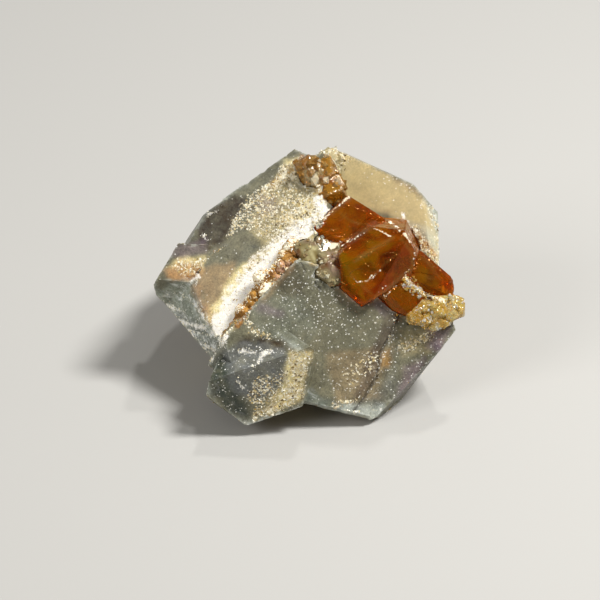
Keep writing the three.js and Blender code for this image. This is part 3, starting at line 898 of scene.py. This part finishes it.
# %% Grains on the fluorite
on_crust = np.clip(masks["crust"] - 0.15, 0, 1) ** 1.5 * (1 - edge)
on_crust *= 1 - np.minimum(masks["snow"], 1) * 0.85
on_crust *= smooth_step(-0.45, 0.05, layered_noise(skin_points, 3.4, 3, 12.4))
crust_grains = grains("cream_grains", skin_moved, skin_normals, on_crust, count=9000,
                      least=0.16, most=0.5, seed=21)
on_snow = np.clip(masks["snow"] - 0.2, 0, 1)
snow_grains = grains("white_grains", skin_moved, skin_normals, on_snow, count=2600,
                     least=0.14, most=0.4, seed=22)
on_seam = np.clip(masks["ochre"] - 0.35, 0, 1)
rust_grains = grains("rusty_grains", skin_moved, skin_normals, on_seam, count=1500,
                     least=0.14, most=0.4, seed=23)

# %% [markdown]
# The other pieces carry grains too: crumbs on the yellow crust and the seam's earth,
# small clear crystals on the two clusters, and sand and sugary crust on the ambers.

# %% Grains on the other pieces
def skin_of(piece):
    """A finished piece's points in millimetres and its normals."""
    count = len(piece.data.vertices)
    points = np.empty(count * 3)
    normals = np.empty(count * 3)
    piece.data.vertices.foreach_get("co", points)
    piece.data.vertices.foreach_get("normal", normals)
    return points.reshape(-1, 3) / MM, normals.reshape(-1, 3)


yellow_points, yellow_normals = skin_of(crust_piece)
yellow_grains = grains("yellow_crust_grains", yellow_points, yellow_normals,
                       np.ones(len(yellow_points)), count=700, least=0.15, most=0.6,
                       seed=24, sunk=0.25)
earth_points, earth_normals = skin_of(earth_piece)
above_end = smooth_step(-7.5, -5.5, across_view(earth_points)[:, 1])
earth_grains = grains("seam_grains", earth_points, earth_normals, above_end, count=1200,
                      least=0.15, most=0.55, seed=25, sunk=0.3)
on_cap = covered(earth_points, earth_normals, EARTH_ZONES["snow"], soft=0.5, wobble=0.5)
cap_grains = grains("seam_white_grains", earth_points, earth_normals, on_cap, count=700,
                    least=0.12, most=0.42, seed=30, sunk=0.3)
pale_points, pale_normals = skin_of(pale_piece)
pale_gems = grains("pale_small_crystals", pale_points, pale_normals,
                   np.clip(pale_normals @ TOWARD, 0.05, 1), count=60, least=0.3, most=1.0,
                   seed=26, sunk=0.1)
golden_points, golden_normals = skin_of(golden_piece)
golden_gems = grains("golden_small_crystals", golden_points, golden_normals,
                     np.clip(golden_normals @ TOWARD, 0.05, 1), count=45, least=0.6,
                     most=1.8, seed=27, sunk=0.1)

frosted = [skin_of(piece) for piece in amber_pieces]
frost_points = np.concatenate([points for points, _ in frosted])
frost_normals = np.concatenate([normals for _, normals in frosted])
on_frost = covered(frost_points, frost_normals, AMBER_ZONES["frost_and_highlight"], soft=0.25, wobble=0.4)
sugar_line = [stroke([(408, 284), (422, 295), (438, 303), (450, 308)], 6, 1.0)]
on_sugar = covered(frost_points, frost_normals, sugar_line, soft=0.4, wobble=0.5)
sugar_grains = grains("yellow_crust_band", frost_points, frost_normals,
                      np.clip(on_sugar - 0.1, 0, 1), count=260, least=0.2, most=0.7,
                      seed=29, sunk=0.2)
frost_grains = grains("white_dust_on_amber", frost_points, frost_normals,
                      np.clip(on_frost - 0.2, 0, 1), count=700, least=0.1, most=0.38,
                      seed=28, sunk=0.2)

# %% [markdown]
# ## Materials
#
# Colours are written as the hex values a painter would pick, and one function turns
# them into the linear values that Blender mixes. One more adds a node, sets it, links
# its inputs and hands back one of its outputs.

# %% Colour and node helpers
def linear(hex_colour):
    """Each sRGB part: divided by 12.92 when dark, else its 2.4 power curve."""
    parts = np.array([int(hex_colour[i:i + 2], 16) / 255 for i in (1, 3, 5)])
    curve = np.where(parts <= 0.04045, parts / 12.92, ((parts + 0.055) / 1.055) ** 2.4)
    return (*curve.tolist(), 1.0)


def add_node(tree, kind, settings, inputs, out=0):
    """A shader node with its settings, and inputs that are values or other outputs."""
    made = tree.nodes.new("ShaderNode" + kind)
    for name, value in settings.items():
        setattr(made, name, value)
    for key, value in inputs.items():
        if isinstance(value, bpy.types.NodeSocket):
            tree.links.new(value, made.inputs[key])
        else:
            made.inputs[key].default_value = value
    return made.outputs[out]


def new_material(name):
    """An empty node material, its tree and the object's own coordinates."""
    made = bpy.data.materials.new(name)
    made.use_nodes = True
    made.node_tree.nodes.clear()
    return made, made.node_tree, add_node(made.node_tree, "TexCoord", {}, {}, "Object")


def finish_material(tree, shader, inside=None):
    """The shader, and what fills the stone, go to the material's output."""
    ends = {"Surface": shader}
    if inside:
        ends["Volume"] = inside
    made = tree.nodes.new("ShaderNodeOutputMaterial")
    for name, socket in ends.items():
        tree.links.new(socket, made.inputs[name])


PER_METRE = 1 / MM
COLOUR = {"data_type": "RGBA"}
TIMES = {"operation": "MULTIPLY"}
PLUS = {"operation": "ADD"}
print("mid grey is linear", round(linear("#808080")[0], 3))

# %% [markdown]
# A zone meets its neighbour in one of two ways. A frayed border shows the zone only
# where its strength and a fine noise add up to more than one, as sand or snow thins
# out. A blotchy one is a tint that is weaker and stronger from place to place.

# %% Frayed and blotchy zones
def frayed(tree, place, zone, size_mm, hard=0.12):
    """1 where the zone's strength plus noise of this size is well over one."""
    here = add_node(tree, "Attribute", {"attribute_name": zone}, {}, "Fac")
    rough = add_node(tree, "TexNoise", {}, {"Vector": place, "Scale": PER_METRE / size_mm,
                                            "Detail": 4.0, "Roughness": 0.65}, "Fac")
    both = add_node(tree, "Math", PLUS, {0: here, 1: rough})
    return add_node(tree, "MapRange", {}, {0: both, 1: 1 - hard, 2: 1 + hard})


def stained_and_shaded(tree, colour, stains_and_light, uneven):
    """A colour under tints (zone, hex, strength), each times the same uneven noise."""
    for zone, tint, strength in stains_and_light:
        here = add_node(tree, "Attribute", {"attribute_name": zone}, {}, "Fac")
        share = add_node(tree, "Math", TIMES, {0: here, 1: uneven})
        held = {"operation": "MULTIPLY", "use_clamp": True}
        share = add_node(tree, "Math", held, {0: share, 1: strength})
        colour = add_node(tree, "Mix", COLOUR, {0: share, 6: colour, 7: linear(tint)}, 2)
    return colour


# %% [markdown]
# Fluorite from such a vein is a satin, half-clear stone: light goes a little way in,
# so it has some transmission and subsurface glow, with its low IOR of 1.434. Over its
# grey-green lie the tints, and over those come crust, dust and glints.

# %% Fluorite body colour
BLOTCHY_STAINS = [("moss", "#959c8d", 0.9), ("deep", "#363d32", 1.0),
                  ("smoke", "#392c1c", 1.0), ("slate", "#70726f", 0.9)]
# The even list also holds painted shade beside the step and the painted glow of thin rims.
EVEN_STAINS_AND_LIGHT = [("beige", "#ab9068", 0.9), ("butter", "#dac68e", 0.95),
               ("cream", "#f7e5a6", 1.0), ("apricot", "#c4945f", 0.75),
               ("mauve", "#86707e", 0.7), ("shade beside step", "#5e5246", 0.65),
               ("gold", "#c68c2c", 1.0), ("rim_glow", "#c6ccc2", 0.75)]
fluorite, tree, place = new_material("satin_fluorite")
broad = add_node(tree, "TexNoise", {}, {"Vector": place, "Scale": PER_METRE / 7.0,
                                        "Detail": 3.0}, "Fac")
share = add_node(tree, "MapRange", {}, {0: broad, 1: 0.35, 2: 0.65})
colour = add_node(tree, "Mix", COLOUR, {0: share, 6: linear("#6a6854"), 7: linear("#7d7962")}, 2)
blotches = add_node(tree, "TexNoise", {}, {"Vector": place, "Scale": PER_METRE / 1.4,
                                           "Detail": 4.0, "Roughness": 0.65}, "Fac")
uneven = add_node(tree, "MapRange", {}, {0: blotches, 1: 0.3, 2: 0.7, 3: 0.4, 4: 1.25})
colour = stained_and_shaded(tree, colour, BLOTCHY_STAINS, uneven)
gentle = add_node(tree, "MapRange", {}, {0: blotches, 1: 0.3, 2: 0.7, 3: 0.75, 4: 1.1})
colour = stained_and_shaded(tree, colour, EVEN_STAINS_AND_LIGHT, gentle)
fine = add_node(tree, "TexNoise", {}, {"Vector": place, "Scale": PER_METRE / 0.3,
                                       "Detail": 3.0, "Roughness": 0.75}, "Fac")
fine = add_node(tree, "MapRange", {}, {0: fine, 1: 0.3, 2: 0.7, 3: 0.6, 4: 1.36})
middling = add_node(tree, "TexNoise", {}, {"Vector": place, "Scale": PER_METRE / 1.7,
                                           "Detail": 3.0, "Roughness": 0.6}, "Fac")
middling = add_node(tree, "MapRange", {}, {0: middling, 1: 0.3, 2: 0.7, 3: 0.76, 4: 1.24})
shade = add_node(tree, "Math", TIMES, {0: fine, 1: middling})
shade = add_node(tree, "CombineXYZ", {}, {0: shade, 1: shade, 2: shade})
unspeckled = colour
colour = add_node(tree, "Mix", {"data_type": "RGBA", "blend_type": "MULTIPLY"},
                  {0: 1.0, 6: colour, 7: shade}, 2)
hazy = add_node(tree, "Attribute", {"attribute_name": "haze"}, {}, "Fac")
colour = add_node(tree, "Mix", COLOUR, {0: hazy, 6: colour, 7: unspeckled}, 2)
print("body tints:", len(BLOTCHY_STAINS) + len(EVEN_STAINS_AND_LIGHT))

# %% [markdown]
# The crust's own colour is painted in cells of a quarter of a millimetre, so that the
# ground between the loose grains has grains too. A few cells are dark, as in the photo.

# %% Rust and crust on the fluorite
rusting = add_node(tree, "TexNoise", {}, {"Vector": place, "Scale": PER_METRE / 0.5,
                                          "Detail": 3.0, "Roughness": 0.7}, "Fac")
rusting = add_node(tree, "MapRange", {}, {0: rusting, 1: 0.35, 2: 0.65})
rusty = add_node(tree, "Mix", COLOUR, {0: rusting, 6: linear("#6b3d12"),
                                       7: linear("#b98038")}, 2)
share = add_node(tree, "Math", TIMES, {0: frayed(tree, place, "ochre", 0.7), 1: 0.85})
colour = add_node(tree, "Mix", COLOUR, {0: share, 6: colour, 7: rusty}, 2)

cells = add_node(tree, "TexVoronoi", {}, {"Vector": place, "Scale": PER_METRE / 0.26},
                 "Color")
cell = add_node(tree, "SeparateColor", {}, {0: cells}).node.outputs
grain_tone = add_node(tree, "Mix", COLOUR, {0: cell[1], 6: linear("#cdb26c"),
                                            7: linear("#fff9e0")}, 2)
is_dark = add_node(tree, "MapRange", {}, {0: cell[2], 1: 0.88, 2: 0.92})
grain_tone = add_node(tree, "Mix", COLOUR, {0: is_dark, 6: grain_tone,
                                            7: linear("#6a5836")}, 2)
clumps = add_node(tree, "TexNoise", {}, {"Vector": place, "Scale": PER_METRE / 1.9,
                                         "Detail": 4.0, "Roughness": 0.65}, "Fac")
crusted = add_node(tree, "Attribute", {"attribute_name": "crust"}, {}, "Fac")
cover = add_node(tree, "Math", {"operation": "MULTIPLY_ADD"}, {0: clumps, 1: 1.5, 2: cell[0]})
cover = add_node(tree, "Math", PLUS, {0: cover, 1: crusted})
cover = add_node(tree, "MapRange", {}, {0: cover, 1: 1.9, 2: 2.1})
within = add_node(tree, "MapRange", {}, {0: crusted, 1: 0.02, 2: 0.2})
cover = add_node(tree, "Math", TIMES, {0: cover, 1: within})
colour = add_node(tree, "Mix", COLOUR, {0: cover, 6: colour, 7: grain_tone}, 2)
print("fluorite nodes with the crust:", len(tree.nodes))

# %% [markdown]
# The broken facet has white feathers. They run down to the right, as its lower edge
# does, and gather in clumps. Snow-white calcite, whose band along the seam is also a
# painted highlight, and the painted shade of thin gaps and ledges have frayed borders.

# %% Feathers, snow and gaps on the fluorite
seat = add_node(tree, "Attribute", {"attribute_name": "seat"}, {}, "Fac")
colour = add_node(tree, "Mix", COLOUR, {0: seat, 6: colour, 7: linear("#e8c583")}, 2)
STREAK_WAY = Vector(RIGHT * 0.82 - UP * 0.57)
streak_turn = STREAK_WAY.rotation_difference(Vector((1, 0, 0))).to_euler()
streaks = add_node(tree, "Mapping", {}, {"Vector": place, "Rotation": streak_turn})
streaks = add_node(tree, "Mapping", {}, {"Vector": streaks, "Scale": (0.22, 1.0, 1.0)})
streaks = add_node(tree, "TexNoise", {}, {"Vector": streaks, "Scale": PER_METRE / 0.75,
                                          "Detail": 5.0, "Roughness": 0.7,
                                          "Distortion": 0.3}, "Fac")
streaks = add_node(tree, "MapRange", {}, {0: streaks, 1: 0.5, 2: 0.6})
in_clumps = add_node(tree, "MapRange", {}, {0: clumps, 1: 0.44, 2: 0.58, 3: 0.12})
streaks = add_node(tree, "Math", TIMES, {0: streaks, 1: in_clumps})
feathery = add_node(tree, "Attribute", {"attribute_name": "feathers"}, {}, "Fac")
share = add_node(tree, "Math", TIMES, {0: feathery, 1: streaks})
share = add_node(tree, "Math", TIMES, {0: share, 1: 0.85})
colour = add_node(tree, "Mix", COLOUR, {0: share, 6: colour, 7: linear("#f1f3ee")}, 2)
# The snow is white crust, along the seam also a painted highlight; dark is painted shade in gaps
# and under ledges.
for zone, tint, size_mm in [("snow", "#fffaf0", 0.6), ("dark", "#2c261f", 0.5)]:
    share = frayed(tree, place, zone, size_mm)
    colour = add_node(tree, "Mix", COLOUR, {0: share, 6: colour, 7: linear(tint)}, 2)
# The step's groove is painted dark as its shade.
colour = stained_and_shaded(tree, colour, [("step", "#2b251e", 0.8)], uneven)
print("fluorite nodes with the feathers:", len(tree.nodes))

# %% [markdown]
# Chipped edges are pale. On sparkling faces a few tiny cells, a sixth of a millimetre
# across, are painted almost white: painted glints, for tiny crystals that throw the
# light back.

# %% Pale edges and glints on the fluorite
on_edge = add_node(tree, "Attribute", {"attribute_name": "edge"}, {}, "Fac")
chips = add_node(tree, "TexNoise", {}, {"Vector": place, "Scale": PER_METRE / 0.9,
                                        "Detail": 3.0, "Roughness": 0.6}, "Fac")
chips = add_node(tree, "MapRange", {}, {0: chips, 1: 0.42, 2: 0.58, 4: 0.55})
share = add_node(tree, "Math", TIMES, {0: on_edge, 1: chips})
colour = add_node(tree, "Mix", COLOUR, {0: share, 6: colour, 7: linear("#d5d8cb")}, 2)

tiny = add_node(tree, "TexVoronoi", {}, {"Vector": place, "Scale": PER_METRE / 0.16}, "Color")
tiny = add_node(tree, "SeparateColor", {}, {0: tiny}).node.outputs
sparkly = add_node(tree, "Attribute", {"attribute_name": "sparkle"}, {}, "Fac")
glints = add_node(tree, "Math", {"operation": "MULTIPLY_ADD"}, {0: sparkly, 1: 0.04, 2: tiny[0]})
glints = add_node(tree, "MapRange", {}, {0: glints, 1: 0.99, 2: 0.994})
strength = add_node(tree, "MapRange", {}, {0: tiny[1], 3: 0.1, 4: 1.0})
glints = add_node(tree, "Math", TIMES, {0: glints, 1: strength})
colour = add_node(tree, "Mix", COLOUR, {0: glints, 6: colour, 7: linear("#f6f4ea")}, 2)
print("fluorite nodes with the glints:", len(tree.nodes))

# %% [markdown]
# The bump is a tenth of a millimetre at most, for grit that is too fine for the mesh.
# The gloss varies, because some parts of a face are fresher than others.

# %% The fluorite's shader
skin_grit = add_node(tree, "TexNoise", {}, {"Vector": place, "Scale": PER_METRE / 0.35,
                                            "Detail": 3.0, "Roughness": 0.7}, "Fac")
skin_grit = add_node(tree, "Math", TIMES, {0: skin_grit, 1: 0.5})
height = add_node(tree, "Math", {"operation": "MULTIPLY_ADD"}, {0: cell[1], 1: cover,
                                                                2: skin_grit})
bump = add_node(tree, "Bump", {}, {"Height": height, "Strength": 0.5, "Distance": 0.1 * MM})
gloss = add_node(tree, "TexNoise", {}, {"Vector": place, "Scale": PER_METRE / 0.8}, "Fac")
gloss = add_node(tree, "MapRange", {}, {0: gloss, 1: 0.3, 2: 0.7, 3: 0.28, 4: 0.5})
shader = add_node(tree, "BsdfPrincipled", {}, {
    "Base Color": colour,
    "Roughness": gloss,
    "IOR": 1.434,
    "Transmission Weight": 0.15,
    "Subsurface Weight": 0.2,
    "Subsurface Radius": (1.0, 0.95, 0.7),
    "Subsurface Scale": 0.0009,
    "Normal": bump,
})
finish_material(tree, shader)
fluorite_piece.data.materials.append(fluorite)
print("fluorite nodes:", len(tree.nodes))

# %% [markdown]
# The clear stones are smooth, with an IOR of about 1.5 to 1.6. Their colour is made by
# plain absorption: red passes, green less, and blue hardly at all, so that a thin rim
# glows orange and a thick middle goes brown. The faces carry what lies just under them:
# an olive part, brown clouds and thin pale veils. Over these lie frost where sand has
# stuck, with a painted highlight in a few of its strokes, a pale bevel that is frost
# with a painted highlight, and a painted orange glow in places. The small crystals'
# rims are painted pale as a highlight and their creases dark as their shade. The
# reflections are tinted a little, because in the photograph the stones mirror only
# each other and a dark room.

# %% Clear stones
AMBER_STAINS_AND_GLOW = [("olive", "#dfaa10", 1.0), ("glow", "#f08a0a", 0.9), ("red", "#c4500c", 0.85),
               ("brown", "#7a300a", 0.9), ("veil", "#f6c65c", 0.8), ("pale_bevel_and_highlight", "#d9b08a", 0.8)]


def clear_stone(name, tones, absorb, density, roughness, clear, ior, bumpy, stains_and_light, mirror,
                shine=0.5):
    """A clear crystal: tones, stains, painted glow, highlight and crease shade, frost and
    absorption.
    """
    made, tree, place = new_material(name)
    wide = add_node(tree, "TexNoise", {}, {"Vector": place, "Scale": PER_METRE / 2.6,
                                           "Detail": 3.0, "Roughness": 0.6}, "Fac")
    wide = add_node(tree, "MapRange", {}, {0: wide, 1: 0.38, 2: 0.62})
    tone = add_node(tree, "Mix", COLOUR, {0: wide, 6: linear(tones[0]), 7: linear(tones[1])}, 2)
    cloud = add_node(tree, "TexNoise", {"noise_dimensions": "4D"},
                     {"Vector": place, "W": 3.0, "Scale": PER_METRE / 1.3, "Detail": 4.0,
                      "Roughness": 0.65}, "Fac")
    cloudy = add_node(tree, "MapRange", {}, {0: cloud, 1: 0.5, 2: 0.62, 4: 0.7})
    tone = add_node(tree, "Mix", COLOUR, {0: cloudy, 6: tone, 7: linear(tones[2])}, 2)
    uneven = add_node(tree, "MapRange", {}, {0: cloud, 1: 0.3, 2: 0.6, 3: 0.3, 4: 1.2})
    tone = stained_and_shaded(tree, tone, stains_and_light, uneven)
    frost_and_highlight = frayed(tree, place, "frost_and_highlight", 0.45, 0.1)
    tone = add_node(tree, "Mix", COLOUR, {0: frost_and_highlight, 6: tone, 7: linear("#efe4c8")}, 2)
    clearness = add_node(tree, "MapRange", {}, {0: frost_and_highlight, 3: clear, 4: 0.2})
    lines = add_node(tree, "TexWave", {"bands_direction": "DIAGONAL"},
                     {"Vector": place, "Scale": PER_METRE / 5.0, "Distortion": 3.0,
                      "Detail": 2.0}, "Fac")
    rise = add_node(tree, "Math", {"operation": "MULTIPLY_ADD"}, {0: lines, 1: 0.5, 2: cloud})
    relief_node = add_node(tree, "Bump", {}, {"Height": rise, "Strength": bumpy,
                                              "Distance": 0.1 * MM})
    rubbed = add_node(tree, "MapRange", {}, {0: cloud, 1: 0.35, 2: 0.7, 3: roughness,
                                             4: roughness + 0.18})
    shader = add_node(tree, "BsdfPrincipled", {}, {
        "Base Color": tone,
        "Roughness": rubbed,
        "IOR": ior,
        "Specular IOR Level": shine,
        "Specular Tint": linear(mirror),
        "Transmission Weight": clearness,
        "Normal": relief_node,
    })
    inside = add_node(tree, "VolumeAbsorption", {}, {"Color": linear(absorb),
                                                     "Density": density})
    finish_material(tree, shader, inside)
    print(name, len(tree.nodes), "nodes")
    return made


# Rims are painted pale as a highlight, and creases dark as their shade.
RIM_HIGHLIGHT_AND_CREASE_SHADE = [("crease", "#2e1c0c", 0.8), ("edge", "#f6e8bc", 0.6)]
PALE_STAINS_AND_LIGHT = [("olive", "#a8945a", 0.8), ("brown", "#7a431a", 0.9), ("pink", "#c2a08c", 0.9),
               ("veil", "#e8dca4", 0.9), ("dark", "#1e150c", 1.0)] + RIM_HIGHLIGHT_AND_CREASE_SHADE
amber = clear_stone("amber_coloured_crystal", ("#f6a01c", "#d8740e", "#a04c0a"), "#f4bc58",
                    density=145, roughness=0.04, clear=0.85, ior=1.6, bumpy=0.2,
                    stains_and_light=AMBER_STAINS_AND_GLOW, mirror="#ffb765", shine=0.28)
for piece in amber_pieces:
    piece.data.materials.append(amber)
GOLDEN_STAINS_AND_LIGHT = [("olive", "#d8992a", 0.9), ("pink", "#dccb9a", 0.9),
                 ("brown", "#a85a1c", 0.8)] + RIM_HIGHLIGHT_AND_CREASE_SHADE
golden = clear_stone("golden_crystal", ("#e4ac46", "#a06c22", "#d8bc74"), "#f8dc8c",
                     density=130, roughness=0.07, clear=0.7, ior=1.55, bumpy=0.2,
                     stains_and_light=GOLDEN_STAINS_AND_LIGHT, mirror="#fff0dc")
golden_piece.data.materials.append(golden)
pale = clear_stone("pale_clear_crystal", ("#b3a67c", "#8f8058", "#6d6446"), "#f4e8b8",
                   density=120, roughness=0.08, clear=0.5, ior=1.5, bumpy=0.15,
                   stains_and_light=PALE_STAINS_AND_LIGHT, mirror="#fff0dc")
pale_piece.data.materials.append(pale)
yellow = clear_stone("yellow_crust_crystal", ("#ffe27a", "#f2b840", "#fff6c8"), "#fbe69c",
                     density=80, roughness=0.08, clear=0.7, ior=1.5, bumpy=0.3,
                     stains_and_light=RIM_HIGHLIGHT_AND_CREASE_SHADE, mirror="#fff0dc")
crust_piece.data.materials.append(yellow)

# %% [markdown]
# The seam is filled with iron oxide, a dull ochre earth. It doesn't shine and lets no
# light in, and its colour runs from orange to dark brown in grains.

# %% Iron oxide earth
earth, tree, place = new_material("iron_oxide_earth")
patches = add_node(tree, "TexNoise", {}, {"Vector": place, "Scale": PER_METRE / 1.1,
                                          "Detail": 4.0, "Roughness": 0.65}, "Fac")
patches = add_node(tree, "MapRange", {}, {0: patches, 1: 0.35, 2: 0.65})
tone = add_node(tree, "Mix", COLOUR, {0: patches, 6: linear("#79501a"),
                                      7: linear("#bd8a3a")}, 2)
# The earth's creases are painted darker as their shade.
EARTH_STAINS_AND_SHADE = [("dark", "#6a3c0e", 0.85), ("crease", "#4a2c10", 0.5), ("pink", "#c9a286", 0.9),
                ("moss", "#7f8069", 1.0)]
tone = stained_and_shaded(tree, tone, EARTH_STAINS_AND_SHADE, 1.0)
crumbs = add_node(tree, "TexNoise", {}, {"Vector": place, "Scale": PER_METRE / 0.6,
                                         "Detail": 3.0, "Roughness": 0.6}, "Fac")
pale_crumbs = add_node(tree, "MapRange", {}, {0: crumbs, 1: 0.62, 2: 0.68})
tone = add_node(tree, "Mix", COLOUR, {0: pale_crumbs, 6: tone, 7: linear("#dcc496")}, 2)
tone = add_node(tree, "Mix", COLOUR, {0: frayed(tree, place, "snow", 0.35), 6: tone,
                                      7: linear("#fbf3d9")}, 2)
grit = add_node(tree, "TexNoise", {}, {"Vector": place, "Scale": PER_METRE / 0.4,
                                       "Detail": 4.0, "Roughness": 0.7}, "Fac")
bump = add_node(tree, "Bump", {}, {"Height": grit, "Strength": 0.8, "Distance": 0.2 * MM})
shader = add_node(tree, "BsdfPrincipled", {}, {"Base Color": tone, "Roughness": 0.85,
                                               "Normal": bump})
finish_material(tree, shader)
earth_piece.data.materials.append(earth)
print("earth nodes:", len(tree.nodes))

# %% [markdown]
# The grains are sand of fluorite, calcite and rust, with a few darker ones, and the
# small crystals are clear. Each grain has one tone, kept on its points, so that
# neighbours differ and the crust sparkles unevenly.

# %% Grain materials
def grain_material(name, low_tone, high_tone, odd_tone, odd_from, roughness, clear, piece):
    """Grains whose tone runs from one colour to another, and to an odd one at the top."""
    made, tree, place = new_material(name)
    own = add_node(tree, "Attribute", {"attribute_name": "tone"}, {}, "Fac")
    tone = add_node(tree, "Mix", COLOUR, {0: own, 6: linear(low_tone), 7: linear(high_tone)}, 2)
    odd = add_node(tree, "MapRange", {}, {0: own, 1: odd_from, 2: odd_from + 0.01})
    tone = add_node(tree, "Mix", COLOUR, {0: odd, 6: tone, 7: linear(odd_tone)}, 2)
    rough = add_node(tree, "TexNoise", {}, {"Vector": place, "Scale": PER_METRE / 0.12}, "Fac")
    rise = add_node(tree, "Bump", {}, {"Height": rough, "Strength": 0.4, "Distance": 0.03 * MM})
    shader = add_node(tree, "BsdfPrincipled", {}, {
        "Base Color": tone,
        "Roughness": roughness,
        "IOR": 1.45,
        "Transmission Weight": clear,
        "Subsurface Weight": 0.15,
        "Subsurface Radius": (1.0, 0.9, 0.7),
        "Subsurface Scale": 0.0003,
        "Normal": rise,
    })
    finish_material(tree, shader)
    piece.data.materials.append(made)
    return made


grain_material("cream_fluorite_grains", "#a58848", "#fffdec", "#6f5c38", odd_from=0.9,
               roughness=0.3, clear=0.0, piece=crust_grains)
white = grain_material("white_fluorite_grains", "#f2e6bc", "#fffdf4", "#b99a5c",
                       odd_from=0.93, roughness=0.25, clear=0.0, piece=snow_grains)
frost_grains.data.materials.append(white)
cap_grains.data.materials.append(white)
sugar = grain_material("yellow_crystal_grains", "#e2ae3c", "#fff0a8", "#fffdf4",
                       odd_from=0.7, roughness=0.08, clear=0.65, piece=yellow_grains)
sugar_grains.data.materials.append(sugar)
rust = grain_material("iron_oxide_grains", "#7a4c14", "#c8983e", "#f3e6c0", odd_from=0.84,
                      roughness=0.6, clear=0.0, piece=rust_grains)
earth_grains.data.materials.append(rust)
grain_material("small_pale_crystals", "#a9824a", "#efe6b6", "#fff8d8", odd_from=0.84,
               roughness=0.08, clear=0.6, piece=pale_gems)
grain_material("small_golden_crystals", "#a06c24", "#e6c074", "#fbeecb", odd_from=0.75,
               roughness=0.08, clear=0.65, piece=golden_gems)
print("materials so far:", len(bpy.data.materials))

# %% [markdown]
# ## Floor and light
#
# The floor is plain and pale. A soft key light stands high on the right, so that faces
# turned that way are bright and the left shoulder and the lobe stay darker. The room
# around is dim, because pale reflections would grey the amber.

# %% Floor and light
FLOOR_REACH = 3.0
floor_mesh = bpy.data.meshes.new("floor")
floor_mesh.from_pydata([(-FLOOR_REACH, -FLOOR_REACH, 0), (FLOOR_REACH, -FLOOR_REACH, 0),
                        (FLOOR_REACH, FLOOR_REACH, 0), (-FLOOR_REACH, FLOOR_REACH, 0)],
                       [], [(0, 1, 2, 3)])
floor = put(floor_mesh, "floor")
floor_material, tree, place = new_material("pale_floor")
shader = add_node(tree, "BsdfPrincipled", {}, {"Base Color": linear("#aeaca7"),
                                               "Roughness": 0.9})
finish_material(tree, shader)
floor_mesh.materials.append(floor_material)


def soft_light(name, direction, distance, size, power):
    """A round soft light that looks at the specimen from this direction."""
    light = bpy.data.lights.new(name, "AREA")
    light.shape = "DISK"
    light.size = size
    light.energy = power
    lamp = put(light, name)
    way = Vector(direction).normalized()
    lamp.location = Vector(SEEN_MIDDLE * MM) + way * distance
    lamp.rotation_euler = way.to_track_quat("Z", "Y").to_euler()


soft_light("key", (0.52, -0.05, 0.85), distance=0.5, size=0.14, power=3.6)
soft_light("fill", (-0.72, -0.5, 0.5), distance=0.8, size=0.4, power=2.8)
soft_light("glint", (0.2, 0.5, 0.85), distance=0.6, size=0.05, power=0.8)
world = bpy.data.worlds.new("studio")
bpy.context.scene.world = world
world.use_nodes = True
world.node_tree.nodes["Background"].inputs["Color"].default_value = linear("#ece9e4")
world.node_tree.nodes["Background"].inputs["Strength"].default_value = 0.22
